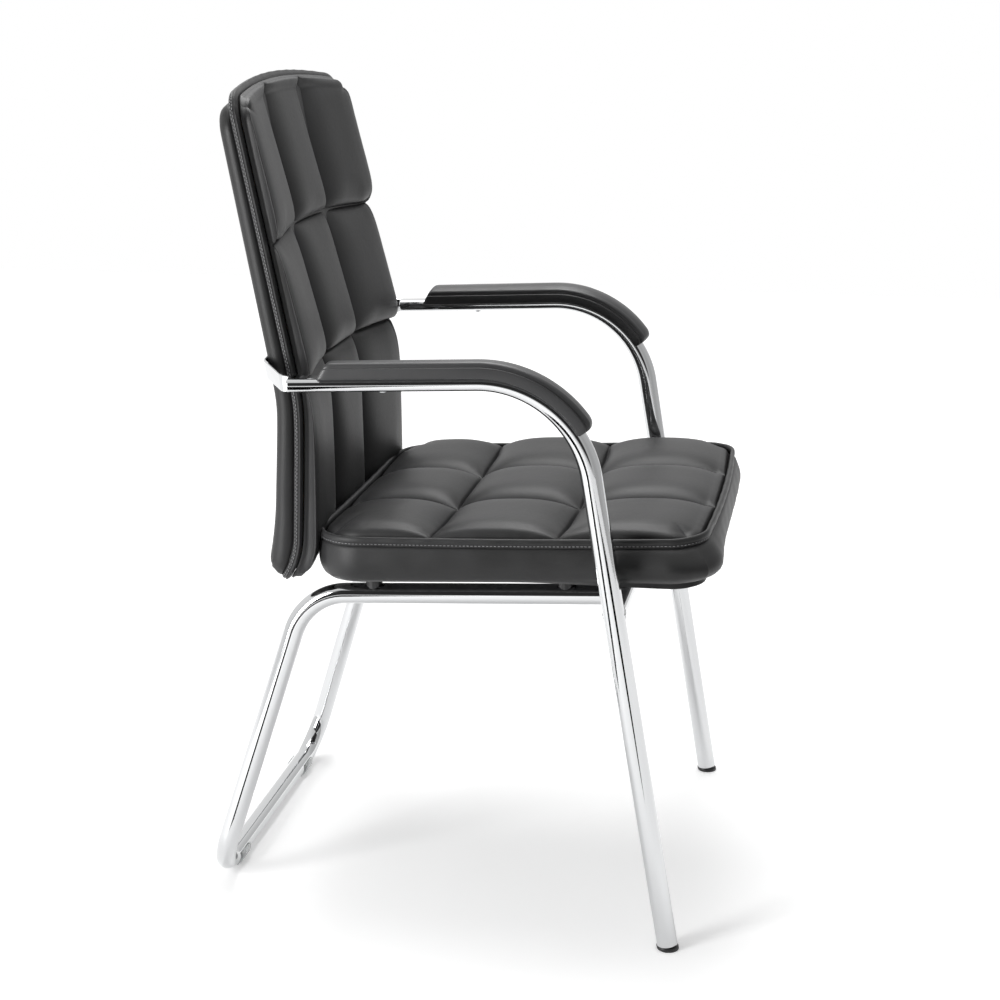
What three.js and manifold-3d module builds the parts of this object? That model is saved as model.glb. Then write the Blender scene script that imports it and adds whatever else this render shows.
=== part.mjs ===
// Sled base visitor chair: chromed tube frame, tufted seat and back, moulded arm pads.
// Millimetres, +Z up. The sitter faces -Y, and the sitter's right hand is on the -X side.

import * as THREE from 'three';
import { mergeVertices } from 'three/addons/utils/BufferGeometryUtils.js';
import Module from 'manifold-3d';

const wasm = await Module();
wasm.setup();

// Running and seating clearances
const fitGap = 0.3;
const softGap = 0.7;
const cutOverrun = 4;
const weldTolerance = 0.0001;

// Frame tube: one bore and wall all through the chair
const tubeRadius = 12.5;
const tubeWall = 1.5;
const bendSag = 0.55;

// Sides of the round forms
const tubeSides = 16;
const boreSides = 12;
const copeSides = 20;
const fastenerSides = 10;
const strapSides = 8;
const weltSides = 6;

// Front leg and arm, one bent tube on each side
const armHalfSpan = 266.5;
const footY = -288;
const legLean = 9.8;
const armAboveRails = 270;
const armRise = 2.8;
const armRearY = 159;
const armBendRadius = 125;
const armHalfHeight = 8.2;

// Under-frame: cross tube between the legs and the loop of rails, rear legs and floor bar
const crossHeight = 412;
const railSlope = 3.3;
const railBendY = 171;
const railBendRadius = 76;
const floorSplay = 28;
const floorBarY = 289;
const floorBendRadius = 55;

// Foot caps of the front legs
const capRimHeight = 5;
const capLip = 0.6;
const capPlugDepth = 20;
const capRecess = 1.2;
const capRimWall = 3.5;

// Clip-on glides under the floor bar
const glideWall = 2;
const glideLength = 30;
const glideInset = 74;
const glideWrap = 215;
const glidePadWidth = 13;

// Arm pads: moulded, rolled a little inwards and seated on top of the tube
const padWidth = 40;
const padTop = 24.4;
const padBottom = 5.4;
const padEdgeRound = 5;
const padCrown = 1.6;
const padRoll = 8;
const padGrooveDrop = 4;
const padGroove = 1.1;
const padRearY = 112;
const padRearRake = 0.6;
const padEndAngle = 57;
const padTipRound = 9;
const padTipDrop = 8;
const padPegRadius = 3;
const padPegReach = 4;
const padPegAngle = 42;
const padScrewY = 50;

// Pad screws, from below through both walls of the flattened tube
const screwRadius = 2;
const screwHeadRadius = 4.5;
const screwHeadHeight = 2.4;
const screwRecess = 0.6;
const screwDomeShares = [0.85, 0.7];
const screwBite = 10;

// Seat, in the plane of the rails: heights are from the rail axis
const spacerHeight = 13;
const spacerRadius = 10;
const boardThickness = 12;
const dustCoverThickness = 1;
const seatArmGap = 18;
const seatOverRail = 48;
const seatFrontY = -320;
const seatRearY = 149;
const seatFrontRadius = 44;
const seatRearRadius = 62;
const seatFrontBow = 8;
const weltHeight = 75;
const seatLip = 28;
const seatNoseDrop = 8;
const boardInset = 30;
const seatCrown = 25;
const seatSeamSink = 3;
const seatBoltYs = [-150, 84];
const boxingBulge = 3;
const cornerBulge = 7;
const boxingTuck = 16;
// Boxing from the welt down to the turned-under lip: its bulge outwards, then its height
const boxingShares = [[-0.2, 1], [1, 0.62], [0.5, 0.3], [-1.5, 0.1]];
const weltRadius = 4.2;
const weltSet = 1;

// Seat and back fixings: M6 bolts in tee nuts
const boltRadius = 3;
const boltHeadRadius = 6;
const boltHeadHeight = 3.6;
const socketRadius = 2.3;
const socketDepth = 2.2;
const boltDomeShares = [0.7, 0.45];
const boltHole = boltRadius + fitGap;
const accessHoleRadius = 7.2;
const teeBarrelRadius = 4.1;
const teeFlangeRadius = 9.5;
const teeFlange = 1.4;
const washerRadius = 7.5;
const washerThickness = 1.2;

// Tufts: fullness between their seams, where the seams run, and knots from seam to seam
const tuftFullness = 0.7;
const roundPower = 2.4;
const seamPower = 4;
const edgePower = 8;
const tuftHangShare = 0.2;
const seatSeamShares = [-1 / 3, 1 / 3];
const seatRowShares = [-0.28, 0.39];
const backSeamShares = [-1 / 3, 1 / 3];
const tuftKnotShares = [0.08, 0.24, 0.5, 0.76, 0.92];
const lowTuftKnotShares = [0.04, 0.1, 0.17, 0.26, 0.42, 0.66, 0.81, 0.93];
const sheetShares = [-1, -0.94, -0.72, -0.38, 0, 0.38, 0.72, 0.94, 1];

// Back: a rear cover, a bent board, a sewn flange all round and the tufted front
const backInsideSeat = 20;
const backAboveRails = 4;
const backHeight = 563;
const backArch = 13;
const backTopRadius = 34;
const backLowRadius = 24;
const lumbarRise = 209;
const lumbarY = 192.6;
const backRecline = 10.4;
const lumbarLean = 3.1;
const lumbarSoftness = 18;
const lumbarReach = 108;
const tailFlare = 10;
const tailHeight = 94;
const backHollow = 16;
const backDepthLow = 37;
const backDepthTop = 28;
const tuckDepth = 18;
const tuckHeight = 55;
const flangeProud = 3;
const flangeInset = 15;
const backBoardThickness = 11;
const backNutSink = 3;
const backCrownLow = 13;
const backCrownTop = 19;
const backSeamSink = 4;
const backSeamRises = [234, 395];
const rearCoverInset = 6;
const rearCoverTopDrop = 8;
const rearCoverRound = 12;
// Rim of the rear cover: how far in and how deep it lies on its way round to the rear face
const coverRimShares = [[0, 0.8], [0.3, 0.3]];
const backCoverEdge = 4;

// Straps from the arm tubes to the back
const strapThickness = 3;
const strapTang = 20;
const strapRootHeight = 16;
const strapHeight = 23;
const strapArmRun = 8;
const strapBendRadius = 14;
const strapSetRadius = 20;
const strapSetInset = 4;
const strapLift = 5;
const strapBoltInsets = [32, 62];
const strapEndMargin = 12;

// Finishes
const chrome = { color: 0xd6d8da, roughness: 0.08, metalness: 1 };
const zinc = { color: 0xb8babd, roughness: 0.35, metalness: 1 };
const leather = { color: 0x1d1d1f, roughness: 0.45, metalness: 0 };
const padPlastic = { color: 0x232426, roughness: 0.5, metalness: 0 };
const blackPlastic = { color: 0x151516, roughness: 0.4, metalness: 0 };
const clearPlastic = { color: 0xc9ccce, roughness: 0.2, metalness: 0 };
const plywood = { color: 0xc8a878, roughness: 0.7, metalness: 0 };
const dustCloth = { color: 0x18181a, roughness: 0.95, metalness: 0 };

const chair = new THREE.Group();
const vec = (x, y, z) => new THREE.Vector3(x, y, z);
const radians = THREE.MathUtils.degToRad;
const lerp = THREE.MathUtils.lerp;

// Solids

// A closed geometry with its faces pointing out, from points and triangles in either sense.
function closedGeometry(points, triangles) {
  let volume = 0;
  for (const [a, b, c] of triangles) {
    volume += points[a].dot(vec(0, 0, 0).crossVectors(points[b], points[c]));
  }
  const outward = volume > 0 ? triangles : triangles.map(([a, b, c]) => [a, c, b]);
  const geometry = new THREE.BufferGeometry();
  geometry.setAttribute('position', new THREE.Float32BufferAttribute(points.flatMap((p) => p.toArray()), 3));
  geometry.setIndex(outward.flat());
  return geometry;
}

function toSolid(geometry) {
  const bare = geometry.clone();
  bare.deleteAttribute('normal');
  bare.deleteAttribute('uv');
  const merged = mergeVertices(bare, weldTolerance);
  const index = merged.index.array;
  const kept = [];
  for (let i = 0; i < index.length; i += 3) {
    const [a, b, c] = [index[i], index[i + 1], index[i + 2]];
    if (a !== b && b !== c && c !== a) kept.push(a, b, c);
  }
  const vertProperties = new Float32Array(merged.attributes.position.array);
  return new wasm.Manifold(new wasm.Mesh({ numProp: 3, vertProperties, triVerts: new Uint32Array(kept) }));
}

function fromSolid(solid) {
  const mesh = solid.getMesh();
  const geometry = new THREE.BufferGeometry();
  geometry.setAttribute('position', new THREE.BufferAttribute(new Float32Array(mesh.vertProperties), 3));
  geometry.setIndex(new THREE.BufferAttribute(new Uint32Array(mesh.triVerts), 1));
  return geometry;
}

// The body with every tool taken away.
function cutAway(body, tools) {
  let solid = toSolid(body);
  for (const tool of tools) solid = solid.subtract(toSolid(tool));
  return fromSolid(solid);
}

function joinOn(body, extra) {
  return fromSolid(toSolid(body).add(toSolid(extra)));
}

// The same solid on the other side of the chair.
function mirrored(geometry) {
  const flipped = geometry.clone().applyMatrix4(new THREE.Matrix4().makeScale(-1, 1, 1));
  const { count } = flipped.attributes.position;
  const index = flipped.index ? Array.from(flipped.index.array) : Array.from({ length: count }, (_, i) => i);
  for (let i = 0; i < index.length; i += 3) [index[i], index[i + 1]] = [index[i + 1], index[i]];
  flipped.setIndex(index);
  return flipped;
}

// A disc or ring turned about its own Z axis: profile points are [radius, height] from low to high.
function turned(profile, sides) {
  const geometry = new THREE.LatheGeometry(profile.map(([r, h]) => new THREE.Vector2(r, h)), sides);
  return geometry.rotateX(Math.PI / 2);
}

function rod(radius, low, high, sides) {
  return turned([[0, low], [radius, low], [radius, high], [0, high]], sides);
}

// Rings of points joined one to the next. Rings that close on themselves need no ends.
function skinRings(rings, triangles, offset, closed) {
  const size = rings[0].length;
  const spans = closed ? rings.length : rings.length - 1;
  for (let i = 0; i < spans; i += 1) {
    const next = (i + 1) % rings.length;
    for (let k = 0; k < size; k += 1) {
      const [a, b] = [offset + i * size + k, offset + i * size + ((k + 1) % size)];
      const [c, d] = [offset + next * size + k, offset + next * size + ((k + 1) % size)];
      triangles.push([a, c, b], [b, c, d]);
    }
  }
}

// A solid bar through rings, with flat ends fanned from their middles.
function bar(rings) {
  const size = rings[0].length;
  const points = rings.flat();
  const triangles = [];
  skinRings(rings, triangles, 0, false);
  [[rings[0], 0, 1], [rings.at(-1), (rings.length - 1) * size, -1]].forEach(([ring, start, sense]) => {
    const hub = points.length;
    points.push(ring.reduce((sum, p) => sum.add(p), vec(0, 0, 0)).divideScalar(size));
    for (let k = 0; k < size; k += 1) {
      const [a, b] = [start + k, start + ((k + 1) % size)];
      triangles.push(sense > 0 ? [hub, a, b] : [hub, b, a]);
    }
  });
  return closedGeometry(points, triangles);
}

// A tube with both ends open: its bore runs on past them.
function pipe(stations, ringOf) {
  const [first, last] = [stations[0], stations.at(-1)];
  const past = (station, along) => ({
    ...station, centre: station.centre.clone().addScaledVector(station.tangent, along),
  });
  const bored = [past(first, -cutOverrun), ...stations.slice(1, -1), past(last, cutOverrun)];
  return cutAway(
    bar(stations.map((s) => ringOf(s, 0, tubeSides))),
    [bar(bored.map((s) => ringOf(s, -tubeWall, boreSides)))],
  );
}

// A path of straight runs with rounded corners. Each station keeps its centre and direction,
// how far along it lies, and which bend it is in and how far round.
function bentPath(corners, radii) {
  const stations = [];
  const push = (centre, tangent, bend, turn) => stations.push({ centre, tangent, bend, turn });
  let tangent = corners[1].clone().sub(corners[0]).normalize();
  push(corners[0].clone(), tangent.clone(), -1, 0);
  for (let i = 1; i < corners.length - 1; i += 1) {
    const next = corners[i + 1].clone().sub(corners[i]).normalize();
    const angle = tangent.angleTo(next);
    const reach = radii[i - 1] * Math.tan(angle / 2);
    const start = corners[i].clone().addScaledVector(tangent, -reach);
    const inward = next.clone().addScaledVector(tangent, -next.dot(tangent)).normalize();
    const hub = start.clone().addScaledVector(inward, radii[i - 1]);
    const steps = Math.max(2, Math.round(angle / (2 * Math.acos(1 - bendSag / radii[i - 1]))));
    for (let k = 0; k <= steps; k += 1) {
      const a = (angle * k) / steps;
      const centre = hub.clone()
        .addScaledVector(inward, -radii[i - 1] * Math.cos(a))
        .addScaledVector(tangent, radii[i - 1] * Math.sin(a));
      const along = tangent.clone().multiplyScalar(Math.cos(a)).addScaledVector(inward, Math.sin(a));
      push(centre, along, i - 1, k / steps);
    }
    tangent = next;
  }
  push(corners.at(-1).clone(), tangent.clone(), -1, 1);
  return stations;
}

// Each station gets a side and an up direction that never twist about the path.
function frameStations(stations, firstSide) {
  let side = firstSide.clone();
  for (const station of stations) {
    side = side.addScaledVector(station.tangent, -side.dot(station.tangent)).normalize();
    station.side = side.clone();
    station.up = vec(0, 0, 0).crossVectors(side, station.tangent).normalize();
    side = station.side.clone();
  }
  return stations;
}

// Obround section: two half rounds joined by flats, on whichever axis is the longer.
function obroundRing(station, halfWide, halfHigh, sides) {
  const round = Math.min(halfWide, halfHigh);
  const ring = [];
  for (let k = 0; k < sides; k += 1) {
    const a = ((k + 1 / 2) / sides) * 2 * Math.PI;
    const s = Math.sign(Math.cos(a)) * (halfWide - round) + round * Math.cos(a);
    const t = Math.sign(Math.sin(a)) * (halfHigh - round) + round * Math.sin(a);
    ring.push(station.centre.clone().addScaledVector(station.side, s).addScaledVector(station.up, t));
  }
  return ring;
}

// Points slide along a direction until they lie at one height.
function mitreRing(ring, direction, height) {
  return ring.map((p) => p.clone().addScaledVector(direction, (height - p.z) / direction.z));
}

function addMesh(parent, name, geometry, finish, matrix) {
  const mesh = new THREE.Mesh(geometry, new THREE.MeshStandardMaterial(finish));
  mesh.name = name;
  if (matrix) mesh.applyMatrix4(matrix);
  parent.add(mesh);
  return mesh;
}

const sides = [['right', (g) => g], ['left', mirrored]];

// Widths follow the arms, and heights follow the rails
const seatHalfWidth = armHalfSpan - tubeRadius - seatArmGap;
const railHalfSpan = seatHalfWidth - seatOverRail;
const floorHalfSpan = railHalfSpan + floorSplay;
const backHalfWidth = seatHalfWidth - backInsideSeat;
const armCornerHeight = crossHeight + armAboveRails;
const backBottom = crossHeight + backAboveRails;
const backTop = backBottom + backHeight;
const lumbarHeight = backBottom + lumbarRise;

// Frame

const legSlope = Math.tan(radians(legLean));
const legY = (z) => footY + legSlope * z;
const legAxis = vec(0, legSlope, 1).normalize();
const railDrop = Math.tan(radians(railSlope));
const crossY = legY(crossHeight);
const railZ = (y) => crossHeight - railDrop * (y - crossY);
const armCornerY = legY(armCornerHeight);
const armZ = (y) => armCornerHeight - Math.tan(radians(armRise)) * (y - armCornerY);
const floorBarZ = tubeRadius + glideWall + fitGap;

// How far the arm tube turns in its bend, in degrees
const armBendTurn = 90 + armRise - legLean;

// The arm stretch is the leg tube pressed flat, so its perimeter stays that of the round tube.
const armHalfWidth = armHalfHeight + (Math.PI * (tubeRadius - armHalfHeight)) / 2;

function armSection(station) {
  const round = station.bend === 0 ? station.turn : Number(station.turn === 1);
  const share = round * round * (3 - 2 * round);
  return [lerp(armHalfWidth, tubeRadius, share), lerp(armHalfHeight, tubeRadius, share)];
}

const armCorners = [
  vec(-armHalfSpan, armRearY, armZ(armRearY)),
  vec(-armHalfSpan, armCornerY, armCornerHeight),
  vec(-armHalfSpan, legY(capRimHeight), capRimHeight),
];
const armStations = frameStations(bentPath(armCorners, [armBendRadius]), vec(-1, 0, 0));

function armRing(station, grow, steps) {
  const [wide, high] = armSection(station);
  const ring = obroundRing(station, wide + grow, high + grow, steps);
  return station === armStations.at(-1) ? mitreRing(ring, legAxis, capRimHeight) : ring;
}

function roundRing(station, grow, steps) {
  return obroundRing(station, tubeRadius + grow, tubeRadius + grow, steps);
}

// A round cutter whose own Z axis lies along a direction through a point.
function alongAxis(geometry, point, direction) {
  const turn = new THREE.Quaternion().setFromUnitVectors(vec(0, 0, 1), direction);
  return geometry.clone().applyMatrix4(new THREE.Matrix4().compose(point, turn, vec(1, 1, 1)));
}

const screwPoint = vec(-armHalfSpan, padScrewY, armZ(padScrewY));
const screwAxis = armStations[0].up.clone();
const pegStation = armStations.reduce((best, station) => {
  const aim = padPegAngle / armBendTurn;
  const miss = (s) => (s.bend === 0 ? Math.abs(s.turn - aim) : Infinity);
  return miss(station) < miss(best) ? station : best;
});

function armTube() {
  const tube = pipe(armStations, armRing);
  const screwHole = alongAxis(
    rod(screwRadius + fitGap, -armHalfHeight - cutOverrun, armHalfHeight + cutOverrun, fastenerSides),
    screwPoint, screwAxis,
  );
  const [, pegHigh] = armSection(pegStation);
  const pegHole = alongAxis(
    rod(padPegRadius + fitGap, pegHigh - tubeWall - cutOverrun, pegHigh + cutOverrun, fastenerSides),
    pegStation.centre, pegStation.up,
  );
  return cutAway(tube, [screwHole, pegHole]);
}

function footCap() {
  const foot = armStations.at(-1);
  const ringAt = (height, radius) => mitreRing(obroundRing(foot, radius, radius, tubeSides), legAxis, height);
  const bore = (tubeRadius - tubeWall) * Math.cos(Math.PI / boreSides) - fitGap;
  const rim = tubeRadius + capLip;
  const rimTop = capRimHeight - fitGap;
  return bar([
    ringAt(capRecess, rim - capRimWall),
    ringAt(0, rim - capRimWall),
    ringAt(0, rim - capLip),
    ringAt(capLip, rim),
    ringAt(rimTop, rim),
    ringAt(rimTop, bore),
    ringAt(rimTop + capPlugDepth - capLip, bore),
    ringAt(rimTop + capPlugDepth, bore - capLip),
  ]);
}

// Loop of side rails, rear legs and floor bar, whose rail ends are coped to the cross tube.
const railEnd = vec(-railHalfSpan, crossY, crossHeight);
const railCorner = vec(-railHalfSpan, railBendY, railZ(railBendY));
const floorCorner = vec(-floorHalfSpan, floorBarY, floorBarZ);
const acrossX = (p) => vec(-p.x, p.y, p.z);
const loopCorners = [
  railEnd, railCorner, floorCorner, acrossX(floorCorner), acrossX(railCorner), acrossX(railEnd),
];
const loopRadii = [railBendRadius, floorBendRadius, floorBendRadius, railBendRadius];
const loopStations = frameStations(bentPath(loopCorners, loopRadii), vec(-1, 0, 0));

// Seat fixings stand square to the rails, in a frame laid along them.
const seatFrame = new THREE.Matrix4()
  .makeTranslation(0, 0, railZ(0))
  .multiply(new THREE.Matrix4().makeRotationX(-radians(railSlope)));
const seatBoltPlaces = seatBoltYs.flatMap((y) => [[-railHalfSpan, y], [railHalfSpan, y]]);
const headSeat = Math.sqrt((tubeRadius - tubeWall) ** 2 - boltHeadRadius ** 2) - fitGap;

function inSeatFrame(geometry, x, y) {
  return geometry.clone().translate(x, y, 0).applyMatrix4(seatFrame);
}

function rearLoop() {
  const tube = pipe(loopStations, roundRing);
  const copeReach = railHalfSpan + tubeRadius + cutOverrun;
  const cope = rod(tubeRadius + fitGap, -copeReach, copeReach, copeSides)
    .rotateY(Math.PI / 2).translate(0, crossY, crossHeight);
  const holes = seatBoltPlaces.flatMap(([x, y]) => [
    inSeatFrame(rod(boltHole, 0, tubeRadius + cutOverrun, fastenerSides), x, y),
    inSeatFrame(rod(accessHoleRadius, -tubeRadius - cutOverrun, 0, fastenerSides), x, y),
  ]);
  return cutAway(tube, [cope, ...holes]);
}

function crossTube() {
  const stations = frameStations(
    [-armHalfSpan, armHalfSpan].map((x) => ({ centre: vec(x, crossY, crossHeight), tangent: vec(1, 0, 0) })),
    vec(0, 1, 0),
  );
  const tube = pipe(stations, roundRing);
  const copeReach = tubeRadius * 2 + cutOverrun;
  const copes = [-1, 1].map((hand) => alongAxis(
    rod(tubeRadius + fitGap, -copeReach, copeReach, copeSides),
    vec(hand * armHalfSpan, crossY, crossHeight), legAxis,
  ));
  return cutAway(tube, copes);
}

// A clip open at the top, with a flat sole under the bar.
function barGlide() {
  const inner = tubeRadius + fitGap;
  const outer = inner + glideWall;
  const half = radians(glideWrap) / 2;
  const shape = new THREE.Shape();
  const down = -Math.PI / 2;
  for (let k = 0; k <= tubeSides; k += 1) {
    const a = down - half + (2 * half * k) / tubeSides;
    const flat = Math.abs(outer * Math.cos(a)) < glidePadWidth / 2 && Math.sin(a) < 0;
    shape[k ? 'lineTo' : 'moveTo'](outer * Math.cos(a), flat ? -outer : outer * Math.sin(a));
  }
  for (let k = tubeSides; k >= 0; k -= 1) {
    const a = down - half + (2 * half * k) / tubeSides;
    shape.lineTo(inner * Math.cos(a), inner * Math.sin(a));
  }
  const clip = new THREE.ExtrudeGeometry(shape, { depth: glideLength, bevelEnabled: false });
  clip.rotateX(Math.PI / 2).rotateZ(Math.PI / 2);
  return clip.translate(glideInset - floorHalfSpan - glideLength / 2, floorBarY, floorBarZ);
}

for (const [hand, place] of sides) {
  addMesh(chair, `arm_leg_tube_${hand}`, place(armTube()), chrome);
  addMesh(chair, `foot_cap_${hand}`, place(footCap()), blackPlastic);
  addMesh(chair, `bar_glide_${hand}`, place(barGlide()), clearPlastic);
}
addMesh(chair, 'rear_loop_tube', rearLoop(), chrome);
addMesh(chair, 'front_cross_tube', crossTube(), chrome);

// Arm pads

// Section of a pad about the tube centre, with a parting groove down each side. A top share
// below one lowers the top, as at the rounded tip.
function padSection(topShare) {
  const half = padWidth / 2;
  const top = lerp(padBottom + padGroove, padTop, topShare);
  const round = Math.min(padEdgeRound, (top - padBottom) / 3);
  const grooveTop = Math.max(top - padGrooveDrop, padBottom + round);
  const rightSide = [
    [half - round / 2, padBottom],
    [half, padBottom + round / 2],
    [half, grooveTop - padGroove],
    [half - padGroove * topShare, grooveTop - padGroove / 2],
    [half, grooveTop],
    [half - round * (1 - Math.SQRT1_2), top - round * (1 - Math.SQRT1_2)],
    [half - round, top],
    [half / 3, top + padCrown * topShare],
  ];
  return [...rightSide, ...rightSide.slice().reverse().map(([s, t]) => [-s, t])];
}

function padRing(station, topShare) {
  const roll = radians(padRoll);
  return padSection(topShare).map(([s, t]) => {
    const rolled = [s * Math.cos(roll) + t * Math.sin(roll), -s * Math.sin(roll) + t * Math.cos(roll)];
    const shift = padTop * Math.sin(roll) / 2;
    return station.centre.clone()
      .addScaledVector(station.side, -(rolled[0] - shift))
      .addScaledVector(station.up, rolled[1])
      .addScaledVector(station.tangent, (station.rake ?? 0) * (padTop - rolled[1]));
  });
}

function padStations() {
  const lastShare = (padEndAngle + armRise) / armBendTurn;
  const rear = { ...armStations[0], centre: vec(-armHalfSpan, padRearY, armZ(padRearY)), rake: -padRearRake };
  const inBend = armStations.filter((s) => s.bend === 0 && s.turn < lastShare - 1 / armBendTurn);
  const first = inBend[0];
  const hub = first.centre.clone().addScaledVector(first.up, -armBendRadius);
  const stationAt = (degrees) => {
    const a = radians(degrees);
    const up = first.up.clone().multiplyScalar(Math.cos(a)).addScaledVector(first.tangent, Math.sin(a));
    const tangent = first.tangent.clone().multiplyScalar(Math.cos(a)).addScaledVector(first.up, -Math.sin(a));
    return {
      centre: hub.clone().addScaledVector(up, armBendRadius),
      up, tangent, side: first.side.clone(), bend: 0, turn: degrees / armBendTurn,
    };
  };
  const tipTurn = THREE.MathUtils.radToDeg(padTipRound / armBendRadius);
  const roundedTip = [0, 1 / 2, 1].map((k) => ({
    station: stationAt(padEndAngle + armRise - tipTurn * (1 - k)),
    topShare: 1 - (padTipDrop / padTop) * (1 - Math.sqrt(1 - k * k)),
  }));
  const body = inBend.filter((s) => s.turn < (padEndAngle + armRise - tipTurn * 2) / armBendTurn);
  return [...[rear, ...body].map((station) => ({ station, topShare: 1 })), ...roundedTip];
}

function armPad() {
  const stations = padStations();
  let pad = bar(stations.map(({ station, topShare }) => padRing(station, topShare)));
  pad = cutAway(pad, [bar(armStations.map((station) => armRing(station, fitGap, tubeSides)))]);
  const [, pegHigh] = armSection(pegStation);
  const peg = alongAxis(
    rod(padPegRadius, pegHigh - tubeWall - padPegReach + fitGap, pegHigh + padPegReach, fastenerSides),
    pegStation.centre, pegStation.up,
  );
  const pilot = alongAxis(
    rod(
      screwRadius + fitGap, armHalfHeight - cutOverrun, armHalfHeight + screwBite + fitGap * 2,
      fastenerSides,
    ),
    screwPoint, screwAxis,
  );
  return cutAway(joinOn(pad, peg), [pilot]);
}

function padScrew() {
  const under = -armHalfHeight - fitGap;
  return alongAxis(turned([
    [0, under - screwHeadHeight + screwRecess],
    [screwHeadRadius / 3, under - screwHeadHeight + screwRecess],
    [screwHeadRadius / 2, under - screwHeadHeight],
    [screwHeadRadius * screwDomeShares[0], under - screwHeadHeight * screwDomeShares[1]],
    [screwHeadRadius, under],
    [screwRadius, under],
    [screwRadius, armHalfHeight + screwBite - screwRadius],
    [0, armHalfHeight + screwBite],
  ], fastenerSides), screwPoint, screwAxis);
}

for (const [hand, place] of sides) {
  addMesh(chair, `arm_pad_${hand}`, place(armPad()), padPlastic);
  addMesh(chair, `arm_pad_screw_${hand}`, place(padScrew()), zinc);
}

// Upholstery lattices

// Shares from -1 to 1 that crowd towards each sewn seam.
function seamShares(seams, within) {
  const stops = [-1, ...seams, 1];
  const shares = [-1];
  for (let i = 0; i < stops.length - 1; i += 1) {
    for (const share of within[i] ?? within[0]) shares.push(lerp(stops[i], stops[i + 1], share));
    shares.push(stops[i + 1]);
  }
  return shares;
}

// How full a tuft is, from its lower seam at -1 to its upper seam at 1: round, full right up
// to the edge of the cushion, or hanging down on its lower seam.
const tuftShape = (p, power) => (1 - Math.abs(p) ** power) ** tuftFullness;
const roundTuft = (p) => tuftShape(p, roundPower);
const fullTuft = (p, atEdge) => tuftShape(p, atEdge ? edgePower : seamPower);
const hangingTuft = (p) => (1 - tuftHangShare * p) * tuftShape(p, p < 0 ? edgePower : roundPower);

function tuftFill(share, seams, profile) {
  const stops = [-1, ...seams, 1];
  const i = Math.min(stops.findLastIndex((s) => s <= share), stops.length - 2);
  const p = (2 * (share - stops[i])) / (stops[i + 1] - stops[i]) - 1;
  return profile(p, Math.abs(share) > Math.abs(stops[1]) && p * share > 0);
}

// A square's corner folded onto a quarter round, so that a lattice fills a rounded outline.
function roundCorner(x, y, halfX, halfY, lowRadius, highRadius) {
  const radius = y < 0 ? lowRadius : highRadius;
  const [dx, dy] = [Math.abs(x) - (halfX - radius), Math.abs(y) - (halfY - radius)];
  if (dx <= 0 || dy <= 0) return [x, y];
  const scale = Math.max(dx, dy) / Math.hypot(dx, dy);
  return [Math.sign(x) * (halfX - radius + dx * scale), Math.sign(y) * (halfY - radius + dy * scale)];
}

// The lattice shares once round the outline.
function outlineShares(us, vs) {
  return [
    ...us.slice(0, -1).map((u) => [u, -1]),
    ...vs.slice(0, -1).map((v) => [1, v]),
    ...us.slice(1).reverse().map((u) => [u, 1]),
    ...vs.slice(1).reverse().map((v) => [-1, v]),
  ];
}

// A solid between a front lattice and a back one, joined round the edge through rims.
// Where back is a single point, the last rim is fanned to it.
function latticeSolid({ us, vs, front, rims, back, hub }) {
  const points = [];
  const triangles = [];
  const loop = outlineShares(us, vs);
  const addLattice = (place, sense) => {
    const start = points.length;
    for (const v of vs) for (const u of us) points.push(place(u, v));
    for (let j = 0; j < vs.length - 1; j += 1) {
      for (let i = 0; i < us.length - 1; i += 1) {
        const [a, b] = [start + j * us.length + i, start + j * us.length + i + 1];
        const [c, d] = [a + us.length, b + us.length];
        const leaning = (i < us.length / 2) === (j < vs.length / 2);
        const pair = leaning ? [[a, b, d], [a, d, c]] : [[a, b, c], [b, d, c]];
        for (const [p, q, r] of pair) triangles.push(sense > 0 ? [p, q, r] : [p, r, q]);
      }
    }
    return loop.map(([u, v]) => start + vs.indexOf(v) * us.length + us.indexOf(u));
  };
  const bands = [addLattice(front, 1)];
  for (const rim of rims) {
    bands.push(loop.map(([u, v]) => points.push(rim(u, v)) - 1));
  }
  if (back) bands.push(addLattice(back, -1));
  for (let i = 0; i < bands.length - 1; i += 1) {
    for (let k = 0; k < loop.length; k += 1) {
      const n = (k + 1) % loop.length;
      const [a, b, c, d] = [bands[i][k], bands[i][n], bands[i + 1][k], bands[i + 1][n]];
      triangles.push([a, c, b], [b, c, d]);
    }
  }
  if (hub) {
    const centre = points.push(hub) - 1;
    const last = bands.at(-1);
    for (let k = 0; k < loop.length; k += 1) triangles.push([last[k], centre, last[(k + 1) % loop.length]]);
  }
  return closedGeometry(points, triangles);
}

// A closed roll of one section laid along the outline.
function weltRing(us, vs, centreAt, halfOut, halfAcross, outwardAt, acrossAt, steps) {
  const rings = outlineShares(us, vs).map(([u, v]) => {
    const [centre, out, across] = [centreAt(u, v), outwardAt(u, v), acrossAt(u, v)];
    return Array.from({ length: steps }, (_, k) => {
      const a = ((k + 1 / 2) / steps) * 2 * Math.PI;
      return centre.clone()
        .addScaledVector(out, halfOut * Math.cos(a))
        .addScaledVector(across, halfAcross * Math.sin(a));
    });
  });
  const triangles = [];
  skinRings(rings, triangles, 0, true);
  return closedGeometry(rings.flat(), triangles);
}

// Seat

const seatHalfDepth = (seatRearY - seatFrontY) / 2;
const seatMidY = (seatRearY + seatFrontY) / 2;
const seatUs = seamShares(seatSeamShares, [tuftKnotShares]);
const seatVs = seamShares(seatRowShares, [tuftKnotShares]);

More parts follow.
